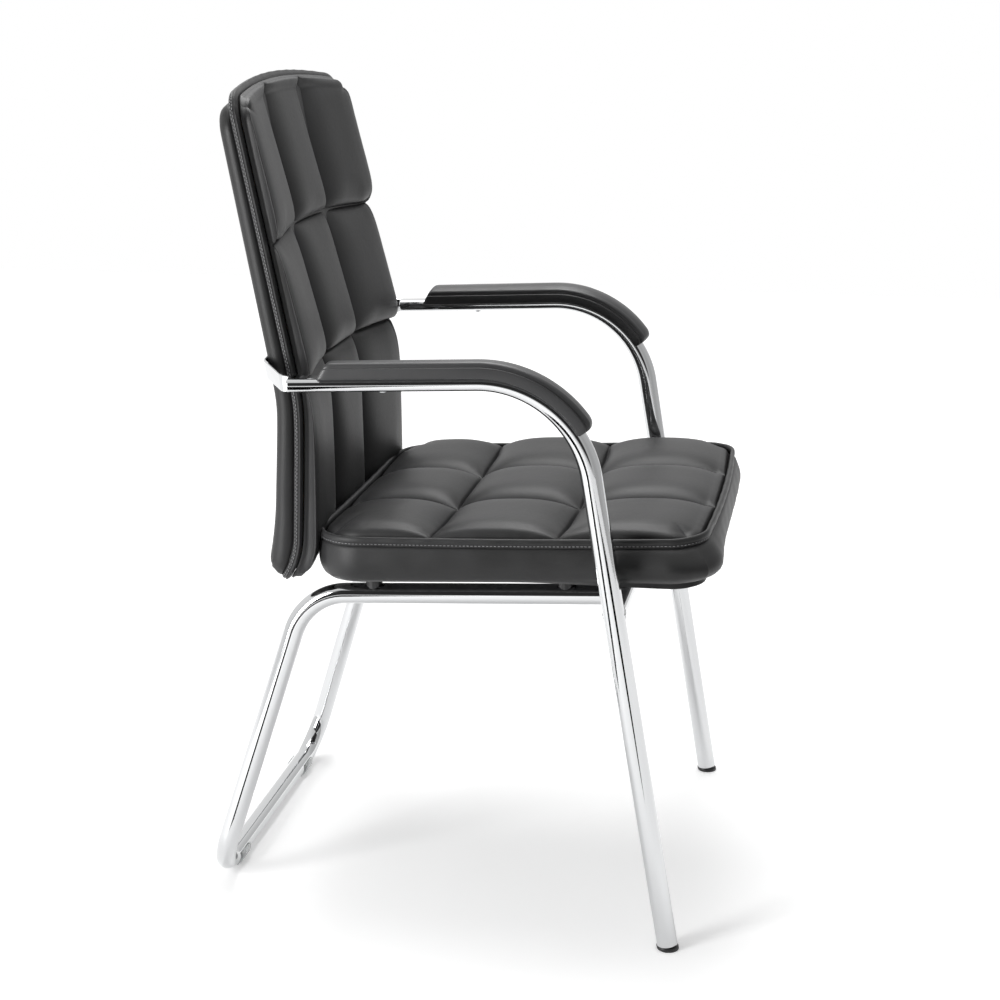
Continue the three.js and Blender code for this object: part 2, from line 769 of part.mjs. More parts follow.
// A point of the seat outline drawn in by an inset, or of its inside, at a height.
function seatPoint(u, v, inset, height) {
  const [halfX, halfY] = [seatHalfWidth - inset, seatHalfDepth - inset];
  const radiusOf = (full) => Math.max(full - inset, full / 4);
  const [x, y] = roundCorner(
    halfX * u, halfY * v, halfX, halfY, radiusOf(seatFrontRadius), radiusOf(seatRearRadius),
  );
  const bow = (seatFrontBow * (1 - u * u) * (1 - v)) / 2;
  return vec(x, seatMidY + y - bow, height);
}

const spacerLow = tubeRadius + fitGap;
const dustLow = tubeRadius + spacerHeight;
const boardLow = dustLow + dustCoverThickness + fitGap;
const boardHigh = boardLow + boardThickness;
const pocketInset = boardInset - softGap;
const weltSeat = weltRadius * 2 + softGap;

function seatTop(u, v) {
  const fill = tuftFill(u, seatSeamShares, fullTuft) * tuftFill(v, seatRowShares, roundTuft);
  const edge = Math.min(1, (1 - Math.max(Math.abs(u), Math.abs(v))) / tuftKnotShares[0]);
  return seatPoint(u, v, weltSeat, weltHeight - seatSeamSink * edge + seatCrown * fill);
}

// The lip sinks towards the front, where the padding rolls over the edge of the board.
function lipAt(v) {
  return seatLip - seatNoseDrop * THREE.MathUtils.smoothstep(-v, 0, 1);
}

// The boxing bulges most round the two front corners.
function bulgeAt(u, v) {
  return boxingBulge + cornerBulge * Math.max(0, -Math.abs(u) * v) ** 2;
}

function seatCushion() {
  const rims = [
    (u, v) => seatPoint(u, v, weltSeat, weltHeight - weltRadius),
    ...boxingShares.map(([outShare, heightShare]) => (u, v) => seatPoint(
      u, v, -outShare * bulgeAt(u, v), lerp(lipAt(v), weltHeight - weltRadius / 2, heightShare),
    )),
    (u, v) => seatPoint(u, v, boxingTuck, lipAt(v)),
    (u, v) => seatPoint(u, v, pocketInset, seatLip),
    (u, v) => seatPoint(u, v, pocketInset, boardHigh + softGap),
  ];
  return latticeSolid({
    us: seatUs, vs: seatVs, front: seatTop, rims, hub: vec(0, seatMidY, boardHigh + softGap),
  });
}

function seatSheet(inset, low, high, holes) {
  const shape = new THREE.Shape(outlineShares(sheetShares, sheetShares)
    .map(([u, v]) => seatPoint(u, v, inset, 0))
    .map((p) => new THREE.Vector2(p.x, p.y)));
  const sheet = new THREE.ExtrudeGeometry(shape, { depth: high - low, bevelEnabled: false });
  return cutAway(sheet.translate(0, 0, low), holes);
}

function atBolts(geometry) {
  return seatBoltPlaces.map(([x, y]) => geometry.clone().translate(x, y, 0));
}

function teeNut(top, drop) {
  return turned([
    [boltHole, top - drop],
    [teeBarrelRadius, top - drop],
    [teeBarrelRadius, top - teeFlange],
    [teeFlangeRadius, top - teeFlange],
    [teeFlangeRadius, top],
    [boltHole, top],
    [boltHole, top - drop],
  ], fastenerSides);
}

function teeNutHole(top, drop) {
  return turned([
    [0, top - drop - cutOverrun],
    [teeBarrelRadius + fitGap, top - drop - cutOverrun],
    [teeBarrelRadius + fitGap, top - teeFlange - fitGap],
    [teeFlangeRadius + fitGap, top - teeFlange - fitGap],
    [teeFlangeRadius + fitGap, top + cutOverrun],
    [0, top + cutOverrun],
  ], fastenerSides);
}

// A bolt along +Z from the underside of its head, with a socket in the head.
function socketBolt(length) {
  return turned([
    [0, -boltHeadHeight + socketDepth],
    [socketRadius, -boltHeadHeight + socketDepth],
    [socketRadius, -boltHeadHeight],
    [boltHeadRadius * boltDomeShares[0], -boltHeadHeight],
    [boltHeadRadius, -boltHeadHeight * boltDomeShares[1]],
    [boltHeadRadius, 0],
    [boltRadius, 0],
    [boltRadius, length - boltRadius / 3],
    [boltRadius * 2 / 3, length],
    [0, length],
  ], fastenerSides);
}

function seatSpacer() {
  const block = rod(spacerRadius, 0, dustLow - fitGap, tubeSides);
  const saddle = rod(spacerLow, -spacerRadius * 2, spacerRadius * 2, tubeSides * 2).rotateX(Math.PI / 2);
  const hole = rod(boltHole, -cutOverrun, dustLow + cutOverrun, fastenerSides);
  return cutAway(block, [saddle, hole]);
}

const seat = new THREE.Group();
seat.applyMatrix4(seatFrame);
chair.add(seat);

const seatTeeDrop = boardThickness - fitGap;
addMesh(seat, 'seat_cushion', seatCushion(), leather);
addMesh(seat, 'seat_board', seatSheet(
  boardInset, boardLow, boardHigh, atBolts(teeNutHole(boardHigh, seatTeeDrop)),
), plywood);
addMesh(seat, 'seat_dust_cover', seatSheet(
  boardInset, dustLow, dustLow + dustCoverThickness,
  atBolts(rod(boltHole + fitGap, 0, boardHigh, fastenerSides)),
), dustCloth);
addMesh(seat, 'seat_welt', weltRing(
  seatUs, seatVs,
  (u, v) => seatPoint(u, v, weltRadius - weltSet, weltHeight + weltRadius / 2),
  weltRadius, weltRadius,
  (u, v) => seatPoint(u, v, 0, 0).sub(seatPoint(u, v, weltRadius, 0)).normalize(),
  () => vec(0, 0, 1), weltSides,
), leather);
seatBoltPlaces.forEach(([x, y], i) => {
  const spot = new THREE.Matrix4().makeTranslation(x, y, 0);
  const label = `${y === seatBoltYs[0] ? 'front' : 'rear'}_${x < 0 ? 'right' : 'left'}`;
  const boltSpot = new THREE.Matrix4().makeTranslation(x, y, headSeat);
  addMesh(seat, `seat_spacer_${label}`, seatSpacer(), blackPlastic, spot);
  addMesh(seat, `seat_bolt_${label}`, socketBolt(boardHigh - headSeat - fitGap), zinc, boltSpot);
  addMesh(seat, `seat_tee_nut_${label}`, teeNut(boardHigh, seatTeeDrop), zinc, spot);
});

// Back

const backHalfHeight = (backTop - backBottom) / 2;
const backMidZ = (backTop + backBottom) / 2;
const backRowShares = backSeamRises.map((rise) => rise / backHalfHeight - 1);
const backUs = seamShares(backSeamShares, [tuftKnotShares]);
const backVs = seamShares(backRowShares, [lowTuftKnotShares, tuftKnotShares, tuftKnotShares]);
const besideSeam = (u) => backSeamShares.some((s) => u !== s && Math.abs(u - s) < tuftKnotShares[0]);
const boardUs = backUs.filter((u) => !besideSeam(u));

// Board and rear cover need knots only where the rear line bends, and at the corners.
const bendsAt = (v) => Math.abs(backMidZ + backHalfHeight * v - lumbarHeight) < lumbarReach;
const boardVs = backVs.filter((v, i) => (
  v <= backRowShares[0] || i > backVs.length - 3 || backRowShares.includes(v) || bendsAt(v)
));

// Rear face of the back at its sides: two leans blended by a hyperbola about the lumbar, and
// a tail that flares rearwards at the bottom.
const leanMean = (Math.tan(radians(backRecline)) - Math.tan(radians(lumbarLean))) / 2;
const leanHalf = (Math.tan(radians(backRecline)) + Math.tan(radians(lumbarLean))) / 2;
const tailShare = (z) => Math.max(0, (backBottom + tailHeight - z) / tailHeight);

function rearLine(z) {
  const rise = z - lumbarHeight;
  const bent = leanMean * rise + leanHalf * Math.hypot(rise, lumbarSoftness);
  return lumbarY + bent + tailFlare * tailShare(z) ** 2;
}

function rearSlope(z) {
  const rise = z - lumbarHeight;
  const bent = leanMean + (leanHalf * rise) / Math.hypot(rise, lumbarSoftness);
  return bent - (2 * tailFlare * tailShare(z)) / tailHeight;
}

// The back is hollowed across its width, so its middle lies further back than its sides.
const hollowAt = (x) => backHollow * (1 - (x / backHalfWidth) ** 2);
const hollowSlope = (x) => (-2 * backHollow * x) / backHalfWidth ** 2;

// How far the flange face stands ahead of the rear face, square to it.
function flangeDepth(z) {
  const share = (z - backBottom) / (backTop - backBottom);
  const tuck = Math.max(0, 1 - Math.max(0, z - backBottom) / tuckHeight);
  return lerp(backDepthLow, backDepthTop, share) + tailFlare * tailShare(z) ** 2 - tuckDepth * tuck ** 2;
}

// A point at a depth ahead of the rear face, on the outline drawn in by an inset or inside it.
function backPoint(u, v, inset, depthAt, topDrop = 0) {
  const [halfX, halfZ] = [backHalfWidth - inset, backHalfHeight - inset - topDrop / 2];
  const radiusOf = (full) => Math.max(full - inset, full / 4);
  const [x, rise] = roundCorner(
    halfX * u, halfZ * v, halfX, halfZ, radiusOf(backLowRadius), radiusOf(backTopRadius),
  );
  const z = backMidZ - topDrop / 2 + rise + (backArch * (1 - u * u) * (1 + v)) / 2;
  const [depth, slope] = [depthAt(z), rearSlope(z)];
  const square = depth / Math.hypot(1, slope);
  return vec(x, rearLine(z) + hollowAt(x) - square, z + square * slope);
}

function backCushion() {
  const crownAt = (u, v) => {
    const fill = tuftFill(u, backSeamShares, fullTuft) * tuftFill(v, backRowShares, hangingTuft);
    const edge = Math.min(1, (1 - Math.max(Math.abs(u), Math.abs(v))) / tuftKnotShares[0]);
    return backCoverEdge + lerp(backCrownLow, backCrownTop, (1 + v) / 2) * fill - backSeamSink * edge;
  };
  const ahead = (crown) => (z) => flangeDepth(z) + softGap + crown;
  const inset = flangeInset / 3;
  return latticeSolid({
    us: backUs, vs: backVs,
    front: (u, v) => backPoint(u, v, inset * 2, ahead(crownAt(u, v))),
    rims: [(u, v) => backPoint(u, v, inset, ahead(backCoverEdge / 2))],
    back: (u, v) => backPoint(u, v, inset * 4 / 3, ahead(0)),
  });
}

function backFlange() {
  const middle = (flangeInset - flangeProud) / 2;
  const halfOut = (flangeInset + flangeProud) / 2 - softGap;
  const halfThick = backBoardThickness / 2;
  const midDepth = (z) => flangeDepth(z) - halfThick;
  return weltRing(
    backUs, backVs,
    (u, v) => backPoint(u, v, middle, midDepth),
    halfOut, halfThick,
    (u, v) => backPoint(u, v, 0, midDepth).sub(backPoint(u, v, middle, midDepth)).normalize(),
    (u, v) => backPoint(u, v, middle, flangeDepth).sub(backPoint(u, v, middle, midDepth)).normalize(),
    weltSides,
  );
}

const strapHeightOnBack = armZ(armRearY) + strapLift;
const strapBoltXs = strapBoltInsets.map((inset) => backHalfWidth - inset);

// Fixings sit on axes square to the rear face under the straps.
function backFixing(x) {
  const z = strapHeightOnBack;
  const across = vec(1, hollowSlope(x), 0).normalize();
  const upward = vec(0, rearSlope(z), 1);
  const ahead = vec(0, 0, 0).crossVectors(upward, across).negate().normalize();
  const level = vec(0, 0, 0).crossVectors(ahead, across);
  return new THREE.Matrix4().makeBasis(across, level, ahead).setPosition(x, rearLine(z) + hollowAt(x), z);
}

const strapXs = strapBoltXs.flatMap((x) => [-x, x]);
const backNutDrop = backBoardThickness - backNutSink - softGap;
const nutFace = flangeDepth(strapHeightOnBack) - backNutSink;

function backBoard() {
  const inset = flangeInset + softGap;
  const solid = latticeSolid({
    us: boardUs, vs: boardVs,
    front: (u, v) => backPoint(u, v, inset, flangeDepth),
    rims: [],
    back: (u, v) => backPoint(u, v, inset, (z) => flangeDepth(z) - backBoardThickness),
  });
  return cutAway(solid, strapXs.map((x) => teeNutHole(nutFace, backNutDrop).applyMatrix4(backFixing(x))));
}

// The rear cover is padded, and rounded where it meets the flange.
function rearCover() {
  const coverDepth = (z) => flangeDepth(z) - backBoardThickness - softGap;
  const roundAt = (share) => (z) => share * Math.min(rearCoverRound, coverDepth(z));
  const solid = latticeSolid({
    us: boardUs, vs: boardVs,
    front: (u, v) => backPoint(u, v, rearCoverInset, coverDepth, rearCoverTopDrop),
    rims: coverRimShares.map(([inShare, deepShare]) => (u, v) => backPoint(
      u, v, rearCoverInset + rearCoverRound * inShare, roundAt(deepShare), rearCoverTopDrop,
    )),
    back: (u, v) => backPoint(u, v, rearCoverInset + rearCoverRound, () => 0, rearCoverTopDrop),
  });
  const through = backDepthLow + cutOverrun;
  const holes = strapXs.map((x) => rod(boltHole + fitGap, -cutOverrun, through, fastenerSides)
    .applyMatrix4(backFixing(x)));
  return cutAway(solid, holes);
}

// Strap: a tang in the open end of the arm tube, a set inwards, and a flat leg on the back.
function backStrap() {
  const stand = strapThickness / 2 + fitGap;
  const onBack = (x) => vec(0, 0, -stand).applyMatrix4(backFixing(x));
  const [outer, inner] = strapBoltXs.map((x) => onBack(-x));
  const leg = inner.clone().sub(outer).normalize();
  const legAt = (x) => outer.clone().addScaledVector(leg, (x - outer.x) / leg.x);
  const arm = armStations[0];
  const outOfArm = arm.tangent.clone().negate();
  const past = (along) => arm.centre.clone().addScaledVector(outOfArm, along);
  const innerEnd = inner.clone().addScaledVector(leg, strapEndMargin);
  const run = bentPath(
    [past(fitGap), past(strapArmRun), legAt(strapSetInset - backHalfWidth), innerEnd],
    [strapBendRadius, strapSetRadius],
  );
  const squareUp = vec(0, 1, 0).transformDirection(backFixing(outer.x));
  const upOnBack = squareUp.z > 0 ? squareUp : squareUp.negate();
  const halfThick = strapThickness / 2;
  const ringAt = (centre, tangent, up, half) => {
    const upright = up.clone().addScaledVector(tangent, -up.dot(tangent)).normalize();
    const side = vec(0, 0, 0).crossVectors(tangent, upright).normalize();
    return obroundRing({ centre, side, up: upright }, halfThick, half, strapSides);
  };
  const tangHalf = armHalfHeight - tubeWall - fitGap;
  const rings = [
    ringAt(past(-strapTang), outOfArm, arm.up, tangHalf),
    ringAt(past(fitGap), outOfArm, arm.up, tangHalf),
    ringAt(past(fitGap), outOfArm, arm.up, strapRootHeight / 2),
  ];
  run.slice(1).forEach((s, i) => {
    const share = Math.min(1, ((i + 1) * 2) / run.length);
    const half = lerp(strapRootHeight, strapHeight, share) / 2;
    rings.push(ringAt(s.centre, s.tangent, arm.up.clone().lerp(upOnBack, share), half));
  });
  const holes = strapBoltXs.map((x) => rod(boltHole, -cutOverrun * 2, cutOverrun, fastenerSides)
    .applyMatrix4(backFixing(-x)));
  return cutAway(bar(rings), holes);
}

const back = new THREE.Group();
chair.add(back);
addMesh(back, 'back_cushion', backCushion(), leather);
addMesh(back, 'back_flange', backFlange(), leather);
addMesh(back, 'back_board', backBoard(), plywood);
addMesh(back, 'back_rear_cover', rearCover(), leather);
for (const [hand, place] of sides) {
  addMesh(back, `back_strap_${hand}`, place(backStrap()), chrome);
}
for (const x of strapXs) {
  const label = `${Math.abs(x) === strapBoltXs[0] ? 'outer' : 'inner'}_${x < 0 ? 'right' : 'left'}`;
  const frame = backFixing(x);
  const headBack = -strapThickness - 2 * fitGap - washerThickness - fitGap;
  const boltFrame = frame.clone().multiply(new THREE.Matrix4().makeTranslation(0, 0, headBack));
  addMesh(back, `back_bolt_${label}`, socketBolt(nutFace - headBack - fitGap), zinc, boltFrame);
  const washerBack = headBack + fitGap;
  addMesh(back, `back_washer_${label}`, turned([
    [boltHole, washerBack],
    [washerRadius, washerBack],
    [washerRadius, washerBack + washerThickness],
    [boltHole, washerBack + washerThickness],
    [boltHole, washerBack],
  ], tubeSides), zinc, frame);
  addMesh(back, `back_tee_nut_${label}`, teeNut(nutFace, backNutDrop), zinc, frame);
}

// The origin is on the floor, under the middle of the whole chair.
chair.updateMatrixWorld(true);
const reach = new THREE.Box3().setFromObject(chair);
chair.position.y -= (reach.min.y + reach.max.y) / 2;

export default chair;
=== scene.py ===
import math

import bpy
import bmesh
import numpy as np
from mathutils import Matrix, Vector


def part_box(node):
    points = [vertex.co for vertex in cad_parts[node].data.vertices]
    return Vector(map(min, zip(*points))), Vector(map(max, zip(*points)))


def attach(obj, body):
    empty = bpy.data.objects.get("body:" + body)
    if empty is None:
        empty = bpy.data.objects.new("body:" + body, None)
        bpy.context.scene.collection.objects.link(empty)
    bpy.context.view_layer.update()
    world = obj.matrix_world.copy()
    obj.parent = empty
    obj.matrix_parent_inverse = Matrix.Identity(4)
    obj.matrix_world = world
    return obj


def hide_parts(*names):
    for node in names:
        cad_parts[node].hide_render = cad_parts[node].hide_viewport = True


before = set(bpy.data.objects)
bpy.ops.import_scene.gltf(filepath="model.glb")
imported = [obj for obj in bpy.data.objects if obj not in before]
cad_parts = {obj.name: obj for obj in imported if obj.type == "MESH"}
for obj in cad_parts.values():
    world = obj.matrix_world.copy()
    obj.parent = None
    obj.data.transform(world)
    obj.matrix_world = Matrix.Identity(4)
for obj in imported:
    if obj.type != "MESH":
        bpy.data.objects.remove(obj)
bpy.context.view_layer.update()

mm = 0.001

# Lengths below are in millimetres, with the floor at z = 0. The sitter faces -Y. The tube is given by
# its radius, and spans are half widths.
chair = dict(
    tube=12.5, wall=1.5, armSpan=266.5, footY=-288, legLean=9.8, railZ=412, armAboveRails=270,
    armRise=2.8, armRearY=159, armBend=125, armHalfHigh=8.2, railSpan=188, railSlope=3.3,
    railBendY=171, railBend=76, floorSpan=216, floorY=289, floorBend=55, glideWall=2, capRim=5.0,
    gap=0.3, softGap=0.7,
)


def nodeCentre(name):
    low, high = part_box(name)
    return np.array([(a + b) / 2 for a, b in zip(low, high)]) / mm


tanLean = math.tan(math.radians(chair["legLean"]))
tanRise = math.tan(math.radians(chair["armRise"]))
tanSlope = math.tan(math.radians(chair["railSlope"]))
crossNode = nodeCentre("front_cross_tube")
# from the tube layout's depth to the frame's
shiftY = crossNode[1] - (chair["footY"] + tanLean * chair["railZ"])
footY = chair["footY"] + shiftY
armCornerZ = chair["railZ"] + chair["armAboveRails"]
armCornerY = footY + tanLean * armCornerZ
armRearY = chair["armRearY"] + shiftY


def railHeight(y):
    # a line that falls to the rear
    return chair["railZ"] - tanSlope * (y - crossNode[1])


def armHeight(y):
    # a line that falls to the rear
    return armCornerZ - tanRise * (y - armCornerY)


# Meshes

nearEnd = 2.0  # a second station this near each end keeps the shading of long straight tubes true


def gridFaces(rows, cols, wrapRows=False, wrapCols=False):
    # four corners of each cell of a grid of points, row by row, joined up where it wraps
    r = np.arange(rows if wrapRows else rows - 1)[:, None]
    c = np.arange(cols if wrapCols else cols - 1)[None]
    nextRow, nextCol = (r + 1) % rows, (c + 1) % cols
    corners = [r * cols + c, r * cols + nextCol, nextRow * cols + nextCol, nextRow * cols + c]
    return np.stack(corners, -1).reshape(-1, 4).tolist()


def outwards(mesh):
    bm = bmesh.new()
    bm.from_mesh(mesh)
    bmesh.ops.recalc_face_normals(bm, faces=bm.faces)
    bm.to_mesh(mesh)
    bm.free()


def unit(vectors):
    # each scaled to length 1
    return vectors / np.linalg.norm(vectors, axis=-1, keepdims=True)


def smooth(t):
    # the smooth step 3 t^2 - 2 t^3
    return t * t * (3 - 2 * t)


def roundAngles(count, offset=0.0):
    # even steps once round, the first at the offset's share of a step
    return (np.arange(count) + offset) / count * 2 * np.pi


def circlePoints(count):
    a = roundAngles(count)
    return np.stack([np.cos(a), np.sin(a)], -1)


def addObject(name, data):
    thing = bpy.data.objects.new(name, data)
    bpy.context.collection.objects.link(thing)
    return thing


def makePiece(name, points, faces, material, slotName, nodes=()):
    # points in millimetres become one object at the origin, which stands for the named CAD nodes
    mesh = bpy.data.meshes.new(name)
    mesh.from_pydata((np.asarray(points) * mm).tolist(), [], faces)
    outwards(mesh)
    sides = np.empty(len(mesh.polygons), dtype=np.int32)
    mesh.polygons.foreach_get("loop_total", sides)
    mesh.polygons.foreach_set("use_smooth", sides <= 4)  # the many-sided end faces stay flat
    mesh.materials.append(material)
    piece = addObject(name, mesh)
    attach(piece, "root")
    if nodes:
        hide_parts(*nodes)
    return piece


def mirrorX(points):
    # (x, y, z) becomes (-x, y, z)
    return np.asarray(points) * [-1, 1, 1]


def makePair(name, points, faces, material, slotName, node):
    # the shape is the right one, at -X, and its mirror image is the left one
    makePiece(name + "Right", points, faces, material, slotName, [node + "_right"])
    makePiece(name + "Left", mirrorX(points), faces, material, slotName, [node + "_left"])


def bentPath(corners, radii, degreesPerStep):
    # straight runs joined by arcs of the given radii, with the tangent at each station and how far
    # round the first arc it lies
    corners = [np.asarray(corner, float) for corner in corners]
    tangent = unit(corners[1] - corners[0])
    centres, tangents = [corners[0] + tangent * [[0.0], [nearEnd]]], [np.array([tangent] * 2)]
    turns = [np.zeros(2)]
    for i, radius in enumerate(radii):
        onward = unit(corners[i + 2] - corners[i + 1])
        angle = math.acos(np.clip(tangent @ onward, -1, 1))
        start = corners[i + 1] - tangent * radius * math.tan(angle / 2)
        inward = unit(onward - tangent * (tangent @ onward))
        steps = max(3, round(math.degrees(angle) / degreesPerStep))
        a = np.linspace(0, angle, steps + 1)[:, None]
        centres.append(start + inward * radius * (1 - np.cos(a)) + tangent * radius * np.sin(a))
        tangents.append(tangent * np.cos(a) + inward * np.sin(a))
        turns.append(a[:, 0] / angle if i == 0 else np.ones(len(a)))
        tangent = onward
    centres.append(corners[-1] - tangent * [[nearEnd], [0.0]])
    tangents.append(np.array([tangent] * 2))
    turns.append(np.ones(2))
    return np.concatenate(centres), np.concatenate(tangents), np.concatenate(turns)


def pathFrames(tangents, firstSide):
    # a side and an up direction for each station, carried along without twist
    side = np.asarray(firstSide, float)
    sides = []
    for tangent in tangents:
        side = unit(side - tangent * (tangent @ side))
        sides.append(side)
    sides = np.array(sides)
    return sides, np.cross(sides, tangents)


def sweep(centres, sides, ups, sections):
    # point = centre + side * across + up * height, for each point of the section at each station
    return centres[:, None] + sides[:, None] * sections[..., :1] + ups[:, None] * sections[..., 1:]


def obround(halfWide, halfHigh, count):
    # half rounds joined by flats: a circle's points pushed apart by what one half size has over the other
    a = roundAngles(count, 0.5)
    wide, high = np.atleast_1d(halfWide)[:, None], np.atleast_1d(halfHigh)[:, None]
    r = np.minimum(wide, high)
    across = np.sign(np.cos(a)) * (wide - r) + r * np.cos(a)
    up = np.sign(np.sin(a)) * (high - r) + r * np.sin(a)
    return np.stack([across, up], -1)


def capped(rings):
    # rows of points as a closed bar: the grid's faces, and one face over each end
    rows, cols = rings.shape[:2]
    faces = gridFaces(rows, cols, wrapCols=True)
    faces.append(list(range(cols)))
    faces.append(list(range((rows - 1) * cols, rows * cols)))
    return rings.reshape(-1, 3), faces


def looped(rings):
    # rows of points that close on themselves both ways
    return rings.reshape(-1, 3), gridFaces(*rings.shape[:2], True, True)


def joined(parts):
    # several lots of points and faces as one
    points, faces, start = [], [], 0
    for somePoints, someFaces in parts:
        points.append(np.asarray(somePoints))
        faces.extend([[i + start for i in face] for face in someFaces])
        start += len(somePoints)
    return np.concatenate(points), faces


# Materials

def linear(hexColour):
    # sRGB hex to linear, with alpha 1
    parts = [int(hexColour[i:i + 2], 16) / 255 for i in (1, 3, 5)]
    return [c / 12.92 if c <= 0.04045 else ((c + 0.055) / 1.055) ** 2.4 for c in parts] + [1.0]


def addNode(tree, kind, settings=None, **links):
    # one node: settings by attribute, and inputs by name, or by i and number, given a value or a socket
    node = tree.nodes.new("ShaderNode" + kind)
    for key, value in (settings or {}).items():
        setattr(node, key, value)
    for key, value in links.items():
        numbered = key[0] == "i" and key[1:].isdigit()
        socket = node.inputs[int(key[1:])] if numbered else node.inputs[key.replace("_", " ")]
        if isinstance(value, bpy.types.NodeSocket):
            tree.links.new(value, socket)
        else:
            socket.default_value = value
    return node


class Finish:
    # a material whose nodes are added one by one, with its textures in the object's own space
    def __init__(self, name, **shader):
        self.material = bpy.data.materials.new(name)
        self.material.use_nodes = True
        self.tree = self.material.node_tree
        self.shader = self.tree.nodes["Principled BSDF"]
        for key, value in shader.items():
            self.shader.inputs[key.replace("_", " ")].default_value = value
        self.coords = self.add("TexCoord").outputs["Object"]

    def add(self, kind, settings=None, **links):
        return addNode(self.tree, kind, settings, **links)

    def noise(self, scale, detail=2.0, roughness=0.5, distortion=0.0, coords=None):
        return self.add("TexNoise", Vector=self.coords if coords is None else coords, Scale=scale,
                        Detail=detail, Roughness=roughness, Distortion=distortion).outputs["Fac"]

    def cells(self, scale, randomness=1.0):
        # the distance to the nearest of many scattered points
        return self.add("TexVoronoi", Vector=self.coords, Scale=scale,
                        Randomness=randomness).outputs["Distance"]

    def ranged(self, value, first, last, start=0.0, end=1.0):
        return self.add("MapRange", Value=value, From_Min=start, From_Max=end, To_Min=first,
                        To_Max=last).outputs[0]

    def ramp(self, fac, stops):
        # colours, each in sRGB hex or as a linear list, at their positions
        node = self.add("ValToRGB", Fac=fac)
        for element, (position, colour) in zip(node.color_ramp.elements, stops):
            element.position = position
            element.color = linear(colour) if isinstance(colour, str) else colour
        return node.outputs["Color"]

    def bump(self, height, strength, distance, **under):
        return self.add("Bump", Strength=strength, Distance=distance, Height=height, **under).outputs[0]

    def dressed(self, **sockets):
        # the worked-out sockets joined to the shader
        for key, socket in sockets.items():
            self.tree.links.new(socket, self.shader.inputs[key.replace("_", " ")])
        return self.material


def leatherFinish():
    # black bonded leather: a fine pebble grain, soft creases, and patches a little glossier from wear
    f = Finish("blackLeather", Roughness=0.47, Specular_IOR_Level=0.34, Sheen_Weight=0.015,
               Sheen_Roughness=0.45)
    patches = f.noise(9.0, detail=3.0, roughness=0.55)
    grain = f.noise(260.0, detail=4.0, roughness=0.6)
    colour = f.ramp(patches, [(0.3, "#1b1b1b"), (0.7, "#272728")])
    gloss = f.ranged(patches, 0.38, 0.5)
    speck = f.add("Math", {"operation": "MULTIPLY_ADD"}, i0=grain, i1=0.08, i2=gloss).outputs[0]
    crease = f.noise(34.0, detail=5.0, roughness=0.62, distortion=0.6)
    creased = f.bump(crease, strength=0.22, distance=0.0012)
    grained = f.bump(grain, strength=0.3, distance=0.0002, Normal=creased)
    pored = f.bump(f.cells(620.0), strength=0.35, distance=0.00012, Normal=grained)
    return f.dressed(Base_Color=colour, Roughness=speck, Normal=pored)


def chromeFinish():
    # bright plate over drawn tube, with a breath of haze and a faint unevenness under the plate
    f = Finish("chromePlate", Metallic=1.0, Base_Color=linear("#cfd0d1"), Roughness=0.06)
    haze = f.ranged(f.noise(24.0, detail=4.0, roughness=0.6), 0.035, 0.09)
    return f.dressed(Roughness=haze, Normal=f.bump(f.noise(70.0), strength=0.04, distance=0.0003))


def mouldedFinish(name, colour, roughness, scale, strength):
    # moulded plastic: a spark-eroded texture, with slightly uneven gloss and handling marks
    f = Finish(name, Base_Color=linear(colour), Roughness=roughness, Specular_IOR_Level=0.5)
    worn = f.noise(14.0, detail=5.0, roughness=0.65)
    gloss = f.ranged(worn, roughness + 0.07, roughness - 0.1, 0.35, 0.7)
    paler = [c * 1.35 for c in linear(colour)[:3]] + [1.0]
    tone = f.ramp(worn, [(0.3, colour), (0.75, paler)])
    spark = f.bump(f.noise(scale), strength=strength, distance=0.0002)
    return f.dressed(Base_Color=tone, Roughness=gloss, Normal=spark)


def clearFinish():
    # milky polypropylene, half clear
    f = Finish("clearGlide", Base_Color=linear("#f3f5f5"), Roughness=0.35, Transmission_Weight=0.5, IOR=1.46)
    cloud = f.ranged(f.noise(60.0, detail=3.0), 0.16, 0.34)
    return f.dressed(Roughness=cloud, Normal=f.bump(f.noise(380.0), strength=0.15, distance=0.0002))


def zincFinish():
    # zinc plate: a fine spangle with dull patches
    f = Finish("zincPlate", Metallic=1.0, Base_Color=linear("#c2c4c6"), Roughness=0.3)
    spangle = f.cells(900.0)
    dull = f.ranged(spangle, 0.22, 0.42)
    return f.dressed(Roughness=dull, Normal=f.bump(spangle, strength=0.1, distance=0.0001))


def plywoodFinish():
    # birch veneer, its grain drawn out along the board
    f = Finish("birchPly", Roughness=0.62)
    long = f.add("Mapping", Vector=f.coords, Scale=(6.0, 90.0, 6.0)).outputs[0]
    grain = f.noise(3.0, detail=8.0, roughness=0.65, distortion=0.4, coords=long)
    colour = f.ramp(grain, [(0.3, "#a9814f"), (0.7, "#d3b284")])
    return f.dressed(Base_Color=colour, Normal=f.bump(grain, strength=0.2, distance=0.0003))


def dustClothFinish():
    # thin non-woven cloth: pressed dots over random fibres
    f = Finish("dustCloth", Base_Color=linear("#161617"), Roughness=0.95)
    tone = f.ramp(f.noise(900.0, detail=3.0), [(0.3, "#111112"), (0.7, "#232325")])
    return f.dressed(Base_Color=tone, Normal=f.bump(f.cells(420.0, 0.15), strength=0.5, distance=0.0003))


def threadFinish():
    # bonded nylon thread, twisted, its tone differing at random along the twist; the thread is black, and its
    # mid grey colour is a painted highlight that stands in for its sheen
    f = Finish("paintedHighlightThread", Base_Color=linear("#6a6a6c"), Roughness=0.5, Sheen_Weight=0.2)
    ply = f.noise(1400.0)
    tone = f.ramp(ply, [(0.35, "#6c6c6e"), (0.65, "#929294")])
    return f.dressed(Base_Color=tone, Normal=f.bump(ply, strength=0.5, distance=0.0002))


